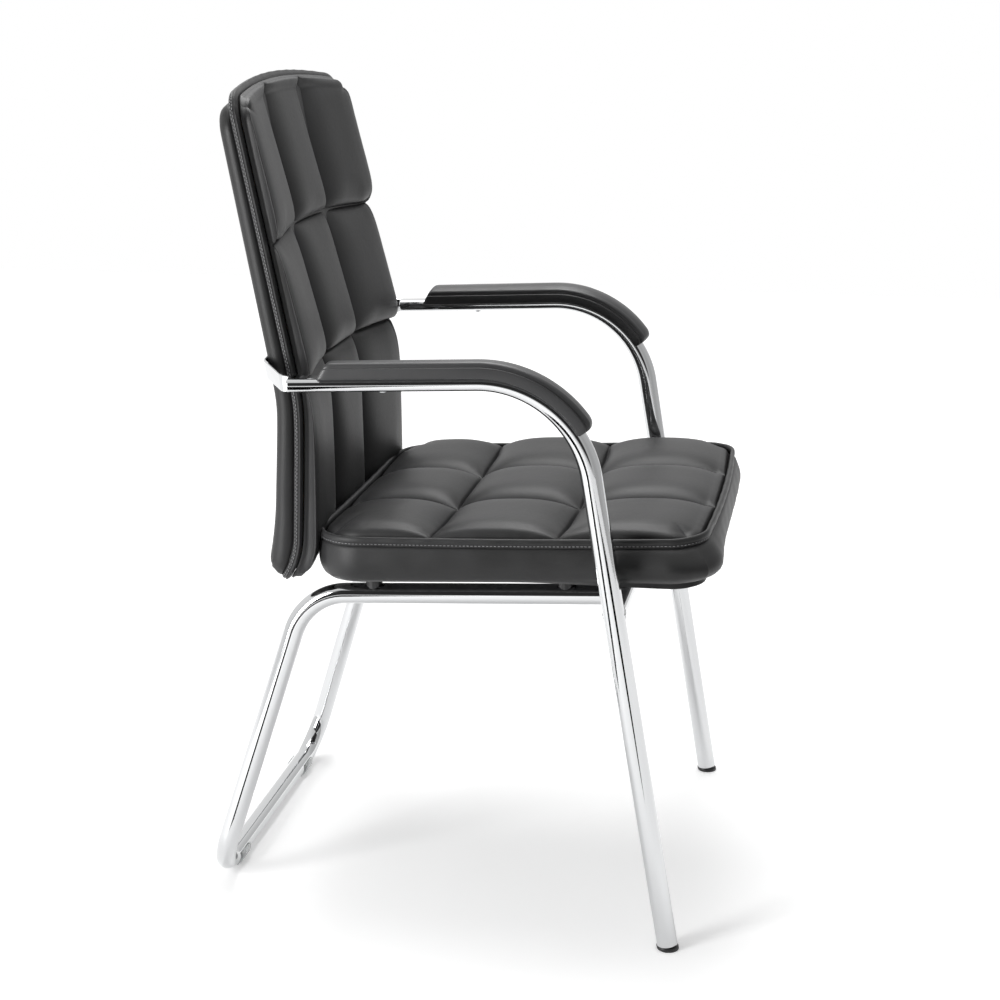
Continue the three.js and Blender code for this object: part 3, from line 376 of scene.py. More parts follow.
leather = leatherFinish()
chrome = chromeFinish()
zinc = zincFinish()
padPlastic = mouldedFinish("padMoulding", "#2b2b2c", 0.42, 900.0, 0.22)
blackPlastic = mouldedFinish("blackMoulding", "#161617", 0.38, 1200.0, 0.15)
clearPlastic = clearFinish()
plywood = plywoodFinish()
dustCloth = dustClothFinish()
# the stitches' mid grey is a painted highlight on black thread
paintedHighlightThread = threadFinish()
print("finishes made")

# Camera, floor, world and lamps

studio = dict(
    eye=(-2297.0, -478.0, 1122.0), yaw=10.96, pitch=-15.67, lens=68.38, sensor=36.0, farthest=60.0,
    floor=9000.0, glowFade=(0.8, 2.6), nearGlow=0.3, farGlow=0.62, wallLevel=0.62,
    cameraSide=0.8, cameraFade=(-0.1, 0.75), frontSide=0.6, frontFade=(0.15, 0.85),
    flagTurn=-8.0, flagHalf=0.5, flagSoft=0.2, flagRise=(0.3, 0.34, 0.06), flagLevel=0.04,
)
lamps = dict(
    overhead=dict(place=(550, 100, 2450), aim=(0, -50, 500), width=1100, height=1600, power=39),
    sideBox=dict(place=(-1900, 1600, 900), aim=(-100, 0, 550), width=700, height=1500, power=50),
)
cards = dict(
    nearCard=dict(start=(-290, -230), azimuth=203.0, reach=(520, 2600), widths=(8, 1085), rise=2),
    rearCard=dict(start=(-215, 290), azimuth=168.0, reach=(260, 2200), widths=(70, 700), rise=2),
)


def makeCamera():
    camera = addObject("camera", bpy.data.cameras.new("camera"))
    camera.data.lens = studio["lens"]
    camera.data.sensor_width = studio["sensor"]
    camera.data.clip_end = studio["farthest"]
    yaw, pitch = math.radians(studio["yaw"]), math.radians(studio["pitch"])
    aim = Vector((math.cos(pitch) * math.cos(yaw), math.cos(pitch) * math.sin(yaw), math.sin(pitch)))
    x, y, z = studio["eye"]
    camera.location = Vector((x, y + shiftY, z)) * mm
    camera.rotation_euler = aim.to_track_quat("-Z", "Y").to_euler()
    bpy.context.scene.camera = camera
    bpy.context.scene.view_settings.view_transform = "Standard"


def maths(add, operation, a, b):
    return add("Math", {"operation": operation}, i0=a, i1=b).outputs[0]


def eased(add, value, fade, first, last):
    # from first to last as the value crosses the fade, by a smooth step
    return add("MapRange", {"interpolation_type": "SMOOTHSTEP"}, Value=value, From_Min=fade[0],
               From_Max=fade[1], To_Min=first, To_Max=last).outputs[0]


def seenDirectly(add):
    # 1 for camera, glossy and transmission rays, so that metal and plastic show the same background
    rays = add("LightPath").outputs
    some = maths(add, "MAXIMUM", rays["Is Camera Ray"], rays["Is Glossy Ray"])
    return maths(add, "MAXIMUM", some, rays["Is Transmission Ray"])


def makeQuad(name, corners, material):
    mesh = bpy.data.meshes.new(name)
    mesh.from_pydata([tuple(c * mm for c in corner) for corner in corners], [], [(0, 1, 2, 3)])
    mesh.materials.append(material)
    return addObject(name, mesh)


def makeFloor():
    # the floor glows a little more with distance, where the lamps no longer reach it
    f = Finish("studioFloor", Base_Color=linear("#f2f2f2"), Roughness=0.7, Specular_IOR_Level=0.2)
    f.shader.inputs["Emission Color"].default_value = (1, 1, 1, 1)
    tone = f.ramp(f.noise(3.0), [(0.4, "#f1f1f1"), (0.6, "#f3f3f3")])
    away = f.add("VectorMath", {"operation": "LENGTH"}, Vector=f.coords).outputs["Value"]
    glow = eased(f.add, away, studio["glowFade"], studio["nearGlow"], studio["farGlow"])
    seen = maths(f.add, "MULTIPLY", seenDirectly(f.add), glow)
    half = studio["floor"] / 2
    corners = [(-half, -half, 0), (half, -half, 0), (half, half, 0), (-half, half, 0)]
    floor = makeQuad("floor", corners, f.dressed(Base_Color=tone, Emission_Strength=seen))


def makeWorld():
    # a white room, dimmer behind the camera and in front of the chair, with a dark flag that gives the
    # arms their line
    world = bpy.data.worlds.new("studio")
    bpy.context.scene.world = world
    world.use_nodes = True
    tree = world.node_tree
    tree.nodes.clear()

    def add(kind, settings=None, **links):
        return addNode(tree, kind, settings, **links)

    def band(value, middle, half, soft):
        # 1 inside a band about a middle value, falling to 0 over a soft edge
        away = maths(add, "ABSOLUTE", maths(add, "SUBTRACT", value, middle), 0)
        return eased(add, away, (half + soft, half), 0.0, 1.0)

    def mixed(x, xShare, y, yShare):
        return maths(add, "ADD", maths(add, "MULTIPLY", x, xShare), maths(add, "MULTIPLY", y, yShare))

    x, y, z = add("SeparateXYZ", i0=add("TexCoord").outputs["Generated"]).outputs
    yaw = math.radians(studio["yaw"])
    towards = mixed(x, -math.cos(yaw), y, -math.sin(yaw))
    aside = mixed(x, math.sin(yaw), y, -math.cos(yaw))
    turn = maths(add, "ARCTAN2", aside, towards)  # from the camera's direction towards the chair's front
    across = band(turn, math.radians(studio["flagTurn"]), studio["flagHalf"], studio["flagSoft"])
    flag = maths(add, "MULTIPLY", across, band(z, *studio["flagRise"]))
    flagged = add("MapRange", Value=flag, To_Min=1.0, To_Max=studio["flagLevel"]).outputs[0]
    towardsCamera = eased(add, towards, studio["cameraFade"], 1.0, studio["cameraSide"])
    beforeChair = eased(add, aside, studio["frontFade"], 1.0, studio["frontSide"])
    wall = maths(add, "MULTIPLY", maths(add, "MULTIPLY", towardsCamera, flagged), beforeChair)
    level = add("MapRange", Value=seenDirectly(add), To_Min=studio["wallLevel"], To_Max=1.0).outputs[0]
    camera = add("LightPath").outputs["Is Camera Ray"]
    strength = maths(add, "MAXIMUM", maths(add, "MULTIPLY", wall, level), camera)
    background = add("Background", Color=(1, 1, 1, 1), Strength=strength)
    add("OutputWorld", Surface=background.outputs[0])


def makeLamp(name, place, aim, width, height, power):
    lamp = addObject(name, bpy.data.lights.new(name, "AREA"))
    lamp.data.shape = "RECTANGLE"
    lamp.data.size, lamp.data.size_y = width * mm, height * mm
    lamp.data.energy = power
    lamp.location = Vector(place) * mm
    lamp.rotation_euler = (Vector(aim) - Vector(place)).to_track_quat("-Z", "Y").to_euler()


def makeCard(name, start, azimuth, reach, widths, rise):
    # a black card on the floor outside the picture, seen only in reflections and through clear plastic
    a = math.radians(azimuth)
    along, across = np.array([math.cos(a), math.sin(a)]), np.array([-math.sin(a), math.cos(a)])
    corners = []
    for k, side in ((0, -1), (0, 1), (1, 1), (1, -1)):
        x, y = np.array(start) + along * reach[k] + across * widths[k] * side / 2
        corners.append((x, y + shiftY, rise))
    f = Finish("blackCard", Base_Color=linear("#050505"), Roughness=0.9, Specular_IOR_Level=0.0)
    tone = f.ramp(f.noise(300.0), [(0.3, "#030303"), (0.7, "#080808")])
    card = makeQuad(name, corners, f.dressed(Base_Color=tone))
    card.visible_camera = card.visible_diffuse = card.visible_shadow = False


makeCamera()
makeFloor()
makeWorld()
for name, lamp in lamps.items():
    makeLamp(name, **lamp)
for name, card in cards.items():
    makeCard(name, **card)
print("studio made")

# Frame tubes

fine = dict(
    round=48, degrees=2.5, endRound=0.5, boreDepth=7.0, sunkShare=0.6, weldReach=1.6, weldWave=0.12,
    weldRipples=21,
)


def armSections(turns, grow=0.0):
    # the round tube is pressed flatter towards the arm, its perimeter unchanged
    share = smooth(turns)
    halfWide = chair["armHalfHigh"] + math.pi * (chair["tube"] - chair["armHalfHigh"]) / 2
    wide = halfWide + (chair["tube"] - halfWide) * share + grow
    high = chair["armHalfHigh"] + (chair["tube"] - chair["armHalfHigh"]) * share + grow
    return obround(wide, high, fine["round"])


def roundSections(count):
    return np.repeat(obround(chair["tube"], chair["tube"], fine["round"]), count, 0)


armCorners = [
    (-chair["armSpan"], armRearY, armHeight(armRearY)),
    (-chair["armSpan"], armCornerY, armCornerZ),
    (-chair["armSpan"], footY + tanLean * chair["capRim"], chair["capRim"]),
]
armCentres, armTangents, armTurns = bentPath(armCorners, [chair["armBend"]], fine["degrees"])
armSides, armUps = pathFrames(armTangents, (-1, 0, 0))


def armTube():
    # the arm and leg in one sweep, its rear end open with a bevelled rim and a short bore
    rings = sweep(armCentres, armSides, armUps, armSections(armTurns))
    wall, rim, deep = chair["wall"], fine["endRound"], fine["boreDepth"]
    out = -armTangents[0]
    ends = []
    for grow, along in ((-wall, -deep), (-wall, -rim), (-wall + rim, 0), (-rim, 0)):
        section = armSections(armTurns[:1], grow)
        ends.append(sweep(armCentres[:1] + out * along, armSides[:1], armUps[:1], section)[0])
    rings[0] -= out * rim
    return capped(np.concatenate([np.array(ends), rings]))


def loopTube():
    # side rails, rear legs and floor bar in one, the rails starting inside the cross tube
    startY, bendY = crossNode[1] + chair["tube"] * fine["sunkShare"], chair["railBendY"] + shiftY
    floorZ = chair["tube"] + chair["glideWall"] + chair["gap"]
    near = [
        (-chair["railSpan"], startY, railHeight(startY)),
        (-chair["railSpan"], bendY, railHeight(bendY)),
        (-chair["floorSpan"], chair["floorY"] + shiftY, floorZ),
    ]
    corners = near + [mirrorX(corner) for corner in reversed(near)]
    radii = [chair["railBend"], chair["floorBend"], chair["floorBend"], chair["railBend"]]
    centres, tangents, _ = bentPath(corners, radii, fine["degrees"])
    sides, ups = pathFrames(tangents, (-1, 0, 0))
    return capped(sweep(centres, sides, ups, roundSections(len(centres))))


def crossTube():
    # a straight tube whose ends lie inside the legs
    reach = chair["armSpan"] - chair["tube"] * fine["sunkShare"]
    xs = (-reach, nearEnd - reach, reach - nearEnd, reach)
    centres = np.array([[x, *crossNode[1:]] for x in xs])
    sides, ups = np.array([[0, 1, 0]] * len(xs)), np.array([[0, 0, 1]] * len(xs))
    return capped(sweep(centres, sides, ups, roundSections(len(xs))))


def weldBead(start, along, host):
    # a wavy fillet round the foot of a tube that stands on another of the same radius r: its seam
    # lies sqrt(r^2 - (r sin a)^2) along the tube
    a, r = roundAngles(96), chair["tube"]
    along, host = np.asarray(along, float), np.asarray(host, float)
    seam = np.sqrt(np.maximum(r * r - (r * np.sin(a)) ** 2, 0))
    rim = np.cos(a)[:, None] * host + np.sin(a)[:, None] * np.cross(along, host)
    foot = np.asarray(start) + rim * r + along * seam[:, None]
    bead = fine["weldReach"] * (1 + fine["weldWave"] * np.sin(a * fine["weldRipples"]))
    sections = bead[:, None, None] * circlePoints(8)
    return looped(sweep(foot, rim, np.broadcast_to(along, rim.shape), sections))


makePair("armLegTube", *armTube(), chrome, "chrome", "arm_leg_tube")
makePiece("rearLoop", *loopTube(), chrome, "chrome", ["rear_loop_tube"])
makePiece("frontCrossTube", *crossTube(), chrome, "chrome", ["front_cross_tube"])
legAxis = unit(np.array([0, tanLean, 1]))
railAxis = unit(np.array([0, 1, -tanSlope]))
beads = []
for hand in (-1, 1):
    beads.append(weldBead((hand * chair["armSpan"], *crossNode[1:]), (-hand, 0, 0), legAxis))
    beads.append(weldBead((hand * chair["railSpan"], *crossNode[1:]), railAxis, (1, 0, 0)))
makePiece("frameWelds", *joined(beads), chrome, "chrome")
print("frame tubes made")

# Caps and glides

foot = dict(lip=0.6, recess=1.2, rimWall=3.5)
glide = dict(wrap=215.0, length=30.0, inset=74.0, sole=13.0, endShare=0.47, endTrim=0.96)


def footCap():
    # a cap whose sole is level while its axis leans with the leg, from a profile of radius and height
    tube, lip, top = chair["tube"], foot["lip"], chair["capRim"]
    r = tube + lip
    profile = [
        (r - foot["rimWall"] - 1, foot["recess"]), (r - foot["rimWall"], 0), (r - lip * 1.6, 0),
        (r - lip * 0.5, lip * 0.4), (r, lip * 1.5), (r, top - 0.9), (r - 0.5, top - 0.2),
        (tube - 1, top - 0.1),
    ]
    rings = []
    for radius, height in profile:
        across, along = (circlePoints(fine["round"]) * radius).T
        circle = np.stack([across, along * math.hypot(1, tanLean), 0 * across], -1)
        rings.append(circle + [-chair["armSpan"], footY + tanLean * height, height])
    return capped(np.array(rings))


def barGlide():
    # a clip round three fifths of the bar, thickest at its flat sole
    half = math.radians(glide["wrap"]) / 2
    a = np.linspace(-half, half, 61) - math.pi / 2
    inner = chair["tube"] + chair["gap"]
    outer = inner + chair["glideWall"]
    low = (np.abs(outer * np.cos(a)) < glide["sole"] / 2) & (np.sin(a) < 0)
    outside = np.stack([outer * np.cos(a), np.where(low, -outer, outer * np.sin(a))], -1)
    inside = np.stack([inner * np.cos(a), inner * np.sin(a)], -1)
    section = np.concatenate([outside, inside[::-1]])
    place = [glide["inset"] - chair["floorSpan"], chair["floorY"] + shiftY, outer]
    full, trim = glide["endShare"], glide["endTrim"]
    rings = []
    for share, scale in ((-0.5, trim), (-full, 1), (full, 1), (0.5, trim)):
        along = np.full(len(section), share * glide["length"])
        rings.append(np.stack([along, section[:, 0] * scale, section[:, 1]], -1) + place)
    return capped(np.array(rings))


makePair("footCap", *footCap(), blackPlastic, "black_plastic", "foot_cap")
makePair("barGlide", *barGlide(), clearPlastic, "clear_plastic", "bar_glide")
print("caps and glides made")

# Arm pads

pad = dict(
    width=40.0, top=24.4, bottom=5.4, edge=5.0, crown=1.8, roll=8.0, groove=1.3, step=2.6, rearY=112.0,
    rearRake=0.6, rakeRun=40.0, rearRound=5.4, rearNarrow=0.1, rearDrop=0.08, endAngle=57.0,
    tipRound=10.0, tipNarrow=0.12, tipDrop=9.0,
)


def padSection(topShare):
    # a rounded slab with a crowned top, a groove along each side and a small radius underneath
    half, bottom = pad["width"] / 2, pad["bottom"]
    top = bottom + 1.5 + (pad["top"] - bottom - 1.5) * topShare
    r = min(pad["edge"], (top - bottom) * 0.4)
    a = np.linspace(0, math.pi / 2, 9)
    inner = half - pad["step"] * min(1, topShare)  # the top stands back from the side by a step
    corner = np.stack([inner - r + r * np.cos(a), top - r + r * np.sin(a)], -1)
    ledge = top - r - 0.4
    g = pad["groove"] * min(1, topShare)
    side = np.array([
        (half - 1.2, bottom), (half - 0.3, bottom + 0.4), (half, bottom + 1.2), (half, ledge - 2.2 * g),
        (half, ledge - 1.6 * g), (half - 0.15 * g, ledge - 1.2 * g), (half - 0.5 * g, ledge - g),
        (inner + 0.3 * g, ledge - g), (inner, ledge - 0.9 * g), (inner - 0.1 * g, ledge - 0.6 * g),
        (inner, ledge - 0.1 * g),
    ])
    x = np.linspace(inner - r, 0, 8)[1:]
    crown = np.stack([x, top + pad["crown"] * topShare * (1 - (x / (inner - r)) ** 2)], -1)
    right = np.concatenate([side, corner, crown])
    left = (right * [-1, 1])[::-1][1:]
    return np.concatenate([right, left])


def quarterRound(t):
    # rises from 0 to 1 as a quarter circle does: 1 - sqrt(1 - t^2)
    return 1 - math.sqrt(max(0, 1 - t * t))


def padBody():
    # the section carried along the arm and round its bend, rolled a little inwards, with both ends
    # drawn in over a short radius
    hub = armCentres[2] - armUps[2] * chair["armBend"]
    last = math.radians(pad["endAngle"] + chair["armRise"])
    up0, tan0 = armUps[1], armTangents[1]
    rearY = pad["rearY"] + shiftY
    rearCentre = np.array([-chair["armSpan"], rearY, armHeight(rearY)])
    straight = np.linalg.norm(armCentres[2] - rearCentre)
    total = straight + last * chair["armBend"]
    stations = np.concatenate([
        [0.0, 0.6, 1.6, 3.2, pad["rearRound"]], np.linspace(9, straight, 9)[:-1],
        straight + np.linspace(0, last, 27)[:-3] * chair["armBend"],
        total - np.array([9.0, 6.0, 3.6, 1.8, 0.7, 0.0]),
    ])
    roll = math.radians(pad["roll"])
    shift = pad["top"] * math.sin(roll) / 2
    rings = []
    for along in np.unique(stations[stations <= total]):
        a = max(0.0, (along - straight) / chair["armBend"])
        up = up0 * math.cos(a) + tan0 * math.sin(a)
        tangent = tan0 * math.cos(a) - up0 * math.sin(a)
        centre = rearCentre + tan0 * along if a == 0 else hub + up * chair["armBend"]
        rear = quarterRound(1 - min(1, along / pad["rearRound"]))
        tip = quarterRound(1 - min(1, (total - along) / pad["tipRound"]))
        section = padSection(1 - pad["tipDrop"] / pad["top"] * tip)
        x = section[:, 0] * (1 - pad["rearNarrow"] * rear - pad["tipNarrow"] * tip)
        z = section[:, 1] - (section[:, 1] - pad["bottom"]) * pad["rearDrop"] * rear
        across = x * math.cos(roll) + z * math.sin(roll) - shift
        high = z * math.cos(roll) - x * math.sin(roll)
        rake = -pad["rearRake"] * (pad["top"] - high) * (1 - min(1, along / pad["rakeRun"]))
        rings.append(centre - armSides[0] * across[:, None] + up * high[:, None] + tangent * rake[:, None])
    return capped(np.array(rings))


makePair("armPad", *padBody(), padPlastic, "pad_plastic", "arm_pad")
print("arm pads made")

# Upholstery lattices

tuft = dict(
    fullness=0.58, roundPower=2.5, seamPower=4.6, edgePower=7.0, leanSoftening=1.6, hangShare=0.26,
    hangPower=9.0, hangFullness=0.38, rowPower=6.0, rowFullness=0.46, under=0.55, underFullness=0.6,
    over=0.2, overFullness=0.55, edgeShare=0.05, crowding=0.7,
)


def seamShares(seams, perCell, crowd):
    # shares from -1 to 1 with closer steps near every seam: a cosine blend between even and crowded
    stops = [-1.0, *seams, 1.0]
    shares = []
    for low, high in zip(stops, stops[1:]):
        t = np.linspace(0, 1, perCell + 1)[:-1]
        eased = (1 - np.cos(np.pi * t)) / 2
        shares.append(low + (high - low) * (t * (1 - crowd) + eased * crowd))
    return np.append(np.concatenate(shares), 1.0)


def tuftShape(p, power):
    # (1 - |p|^power)^fullness
    return np.maximum(0, 1 - np.abs(p) ** power) ** tuft["fullness"]


def placeInCell(share, seams):
    # where a share lies between its two seams, from -1 to 1, and whether it leans to the outer edge
    stops = np.array([-1.0, *seams, 1.0])
    cell = np.clip(np.searchsorted(stops, share, side="right") - 1, 0, len(stops) - 2)
    p = 2 * (share - stops[cell]) / (stops[cell + 1] - stops[cell]) - 1
    outer = ((cell == 0) & (p < 0)) | ((cell == len(stops) - 2) & (p > 0))
    return p, outer


def fullTuft(share, seams, edgeFullness, lean):
    # towards the piece's outer edge a tuft rises at once, like a roll: (1 - p^n)^fullness, and an outer
    # tuft leans out by 1 + lean p, with a rounder fall to its inner seam
    p, outer = placeInCell(share, seams)
    outerCell = np.abs(share) > seams[-1]
    roll = np.maximum(0, 1 - np.abs(p) ** tuft["edgePower"]) ** edgeFullness
    softened = tuft["seamPower"] * (1 - tuft["leanSoftening"] * lean)
    inward = tuftShape(p, np.where(outerCell, softened, tuft["seamPower"]))
    return np.where(outer, roll, inward) * np.where(outerCell, 1 + lean * p * np.sign(share), 1)


def roundTuft(share, seams):
    # the same rounder fall to every seam
    p, _ = placeInCell(share, seams)
    return tuftShape(p, tuft["roundPower"])


def hangingTuft(share, seams):
    # a row hangs over its lower seam, fuller there by 1 - hangShare p; the lowest row rounds under and
    # the highest over, both by (1 - t^2) to a power about a half
    p, _ = placeInCell(share, seams)
    low = np.maximum(0, 1 - np.abs(p) ** tuft["hangPower"]) ** tuft["hangFullness"]
    high = np.maximum(0, 1 - np.abs(p) ** tuft["rowPower"]) ** tuft["rowFullness"]
    t = np.clip((-p - 1 + tuft["under"]) / tuft["under"], 0, 1)
    low = np.where(share < seams[0], (1 - t * t) ** tuft["underFullness"], low)
    t = np.clip((p - 1 + tuft["over"]) / tuft["over"], 0, 1)
    high = np.where(share > seams[-1], (1 - t * t) ** tuft["overFullness"], high)
    return (1 - tuft["hangShare"] * p) * np.where(p < 0, low, high)


def clearOfEdge(U, V):
    # 0 on the outline, rising straight to 1 a little way in
    return np.minimum(1, (1 - np.maximum(np.abs(U), np.abs(V))) / tuft["edgeShare"])


def roundCorner(x, y, halfX, halfY, lowRadius, highRadius):
    # a square's corners folded onto quarter rounds
    radius = np.where(y < 0, lowRadius, highRadius)
    dx, dy = np.abs(x) - (halfX - radius), np.abs(y) - (halfY - radius)
    inside = (dx <= 0) | (dy <= 0)
    scale = np.maximum(dx, dy) / np.maximum(np.hypot(dx, dy), 1e-9)
    newX = np.sign(x) * (halfX - radius + dx * scale)
    newY = np.sign(y) * (halfY - radius + dy * scale)
    return np.where(inside, x, newX), np.where(inside, y, newY)


def outlineShares(us, vs):
    # the lattice's shares once round its outline
    low = np.stack([us[:-1], np.full(len(us) - 1, -1.0)], -1)
    right = np.stack([np.full(len(vs) - 1, 1.0), vs[:-1]], -1)
    high = np.stack([us[1:][::-1], np.full(len(us) - 1, 1.0)], -1)
    left = np.stack([np.full(len(vs) - 1, -1.0), vs[1:][::-1]], -1)
    return np.concatenate([low, right, high, left]).T


def outlineIndices(us, vs):
    # the places of those points in the lattice
    cols, rows = len(us), len(vs)
    low = np.arange(cols - 1)
    right = np.arange(rows - 1) * cols + cols - 1
    high = (rows - 1) * cols + np.arange(cols - 1, 0, -1)
    left = np.arange(rows - 1, 0, -1) * cols
    return np.concatenate([low, right, high, left])


def shell(front, us, vs, loops):
    # a lattice of points, then closed loops below its outline, with one face over the last
    points = [front.reshape(-1, 3)]
    faces = gridFaces(len(vs), len(us))
    rim = outlineIndices(us, vs)
    start = len(us) * len(vs)
    count = len(rim)
    for loop in loops:
        now = np.arange(count) + start
        faces.extend(np.stack([rim, np.roll(rim, -1), np.roll(now, -1), now], -1).tolist())
        points.append(loop)
        rim, start = now, start + count
    faces.append(rim.tolist())
    return np.concatenate(points), faces


cloth = dict(
    quality=6, mass=0.35, stretchStiffness=22, shearStiffness=9, bendStiffness=1.2, damping=8,
    airDamping=3, frames=20, cap=3.5, smoothings=4,
)


def relax(front, us, vs, pinned, swell):
    # the panel as cloth: held along its seams, blown out from behind, and kept near its first shape,
    # each step's length becoming cap * tanh(length / cap)
    mesh = bpy.data.meshes.new("clothWork")
    mesh.from_pydata((front.reshape(-1, 3) * mm).tolist(), [], gridFaces(len(vs), len(us)))
    mesh.update()
    work = addObject("clothWork", mesh)
    group = work.vertex_groups.new(name="held")
    group.add(np.flatnonzero(pinned.ravel()).tolist(), 1.0, "REPLACE")
    modifier = work.modifiers.new("Cloth", "CLOTH")
    settings = modifier.settings
    settings.quality = cloth["quality"]
    settings.mass = cloth["mass"]
    settings.tension_stiffness = settings.compression_stiffness = cloth["stretchStiffness"]
    settings.shear_stiffness = cloth["shearStiffness"]
    settings.bending_stiffness = cloth["bendStiffness"]
    settings.tension_damping = settings.compression_damping = cloth["damping"]
    settings.air_damping = cloth["airDamping"]
    settings.use_pressure = True
    settings.uniform_pressure_force = swell
    settings.vertex_group_mass = "held"
    settings.pin_stiffness = 1.0
    settings.effector_weights.gravity = 0
    modifier.collision_settings.use_collision = False
    modifier.collision_settings.use_self_collision = False
    modifier.point_cache.frame_start, modifier.point_cache.frame_end = 1, cloth["frames"]
    scene = bpy.context.scene
    for frameNumber in range(1, cloth["frames"] + 1):
        scene.frame_set(frameNumber)
    shape = work.evaluated_get(bpy.context.evaluated_depsgraph_get()).to_mesh()
    moved = np.empty(len(shape.vertices) * 3)
    shape.vertices.foreach_get("co", moved)
    work.to_mesh_clear()
    scene.frame_set(1)
    bpy.data.objects.remove(work)
    step = moved.reshape(front.shape) / mm - front
    length = np.linalg.norm(step, axis=-1, keepdims=True)
    step = step * cloth["cap"] * np.tanh(length / cloth["cap"]) / np.maximum(length, 1e-9)
    # sharp pinches even out: each step becomes (before + 2 itself + after) / 4, along and across
    for _ in range(cloth["smoothings"]):
        for axis in (0, 1):
            rows = np.moveaxis(step, axis, 0)
            rows[1:-1] = (rows[:-2] + 2 * rows[1:-1] + rows[2:]) / 4
        step[pinned] = 0
    return front + step


def finer(points):
    # twice as many steps each way: a new row lies at (9 (b + c) - (a + d)) / 16 of its four neighbours
    for axis in (0, 1):
        rows = np.moveaxis(points, axis, 0)
        before = np.concatenate([2 * rows[:1] - rows[1:2], rows[:-2]])
        after = np.concatenate([rows[2:], 2 * rows[-1:] - rows[-2:-1]])
        between = (9 * (rows[:-1] + rows[1:]) - before - after) / 16
        wide = np.empty((2 * len(rows) - 1, *rows.shape[1:]))
        wide[::2], wide[1::2] = rows, between
        points = np.moveaxis(wide, 0, axis)
    return points


def finerShares(shares):
    # a share half way between each two
    return np.interp(np.arange(2 * len(shares) - 1) / 2, np.arange(len(shares)), shares)


def nearShares(shares, seams):
    # how far each share is from its nearest seam or edge
    return np.min(np.abs(shares[:, None] - np.array([-1.0, *seams, 1.0])[None]), 1)


def wrinkle(along, seed):
    # an uneven run of little waves: a sine whose pitch and height both wander
    pitch = along / 4.6 + 1.9 * np.sin(along / 23 + seed) + 1.1 * np.sin(along / 9.7 + 2 * seed)
    return np.sin(pitch) * (0.55 + 0.45 * np.sin(along / 41 + 3 * seed))


gather = dict(height=0.15, reach=6.0, fade=6.0, seamFlat=1.5)


def puckered(front, us, vs, colSeams, rowSeams):
    # gathers that stand square to each seam and die away from it, by exp(-distance / reach), and that
    # fade where two seams meet
    normal = np.cross(np.gradient(front, axis=1), np.gradient(front, axis=0))
    normal /= np.maximum(np.linalg.norm(normal, axis=-1, keepdims=True), 1e-9)
    halfU = (front[..., 0].max() - front[..., 0].min()) / 2
    halfV = np.linalg.norm(front[-1, len(us) // 2] - front[0, len(us) // 2]) / 2
    fromCol = (nearShares(us, colSeams) * halfU)[None]
    fromRow = (nearShares(vs, rowSeams) * halfV)[:, None]
    reach, fade = gather["reach"], gather["fade"]
    wave = np.exp(-fromCol / reach) * wrinkle(vs * halfV, 0.7)[:, None] * np.minimum(1, fromRow / fade)
    wave = wave + np.exp(-fromRow / reach) * wrinkle(us * halfU, 2.1)[None] * np.minimum(1, fromCol / fade)
    height = gather["height"] * wave * np.minimum(1, np.minimum(fromCol, fromRow) / gather["seamFlat"])
    return front + normal * height[..., None]


def upholstered(front, us, vs, colSeams, rowSeams, swell):
    # the panel swelled between its seams, made finer and gathered, with its finer shares
    held = (nearShares(us, colSeams) < 1e-6)[None] | (nearShares(vs, rowSeams) < 1e-6)[:, None]
    front = finer(relax(front, us, vs, held, swell))
    us, vs = finerShares(us), finerShares(vs)
    return puckered(front, us, vs, colSeams, rowSeams), us, vs


# Stitches

stitch = dict(length=3.3, pitch=4.6, radius=0.45, blunt=0.985, dip=0.9, stand=0.35)


def runStitches(path, outward):
    # small capsules laid once round a path: each is a grid whose rings shrink to both ends, and which
    # dips into the leather at its ends
    path, outward = np.vstack([path, path[:1]]), np.vstack([outward, outward[:1]])
    run = np.concatenate([[0], np.cumsum(np.linalg.norm(np.diff(path, axis=0), axis=1))])
    count = int(run[-1] / stitch["pitch"])
    middles = (np.arange(count) + 0.5) / count * run[-1]
    ring = np.linspace(-1, 1, 7)
    radius = stitch["radius"] * np.sqrt(np.maximum(0.0, 1 - (ring * stitch["blunt"]) ** 4))
    rise = stitch["radius"] * (stitch["stand"] - stitch["dip"] * ring ** 4)
    where = middles[:, None] + ring * stitch["length"] / 2
    centre = np.stack([np.interp(where, run, path[:, k]) for k in range(3)], -1)
    out = unit(np.stack([np.interp(where, run, outward[:, k]) for k in range(3)], -1))
    side = np.cross(unit(np.gradient(centre, axis=1)), out)
    centre = centre + out * rise[:, None]
    section = radius[:, None, None] * circlePoints(6)
    body = centre[:, :, None] + out[:, :, None] * section[..., :1] + side[:, :, None] * section[..., 1:]
    rows, cols = section.shape[:2]
    starts = np.arange(count) * rows * cols
    faces = (np.array(gridFaces(rows, cols, wrapCols=True)) + starts[:, None, None]).reshape(-1, 4).tolist()
    for start in starts.tolist():
        faces.append(list(range(start, start + cols)))
        faces.append(list(range(start + (rows - 1) * cols, start + rows * cols)))
    return body.reshape(-1, 3), faces


# Seat: worked in the plane of the rails, with heights from the rail axis

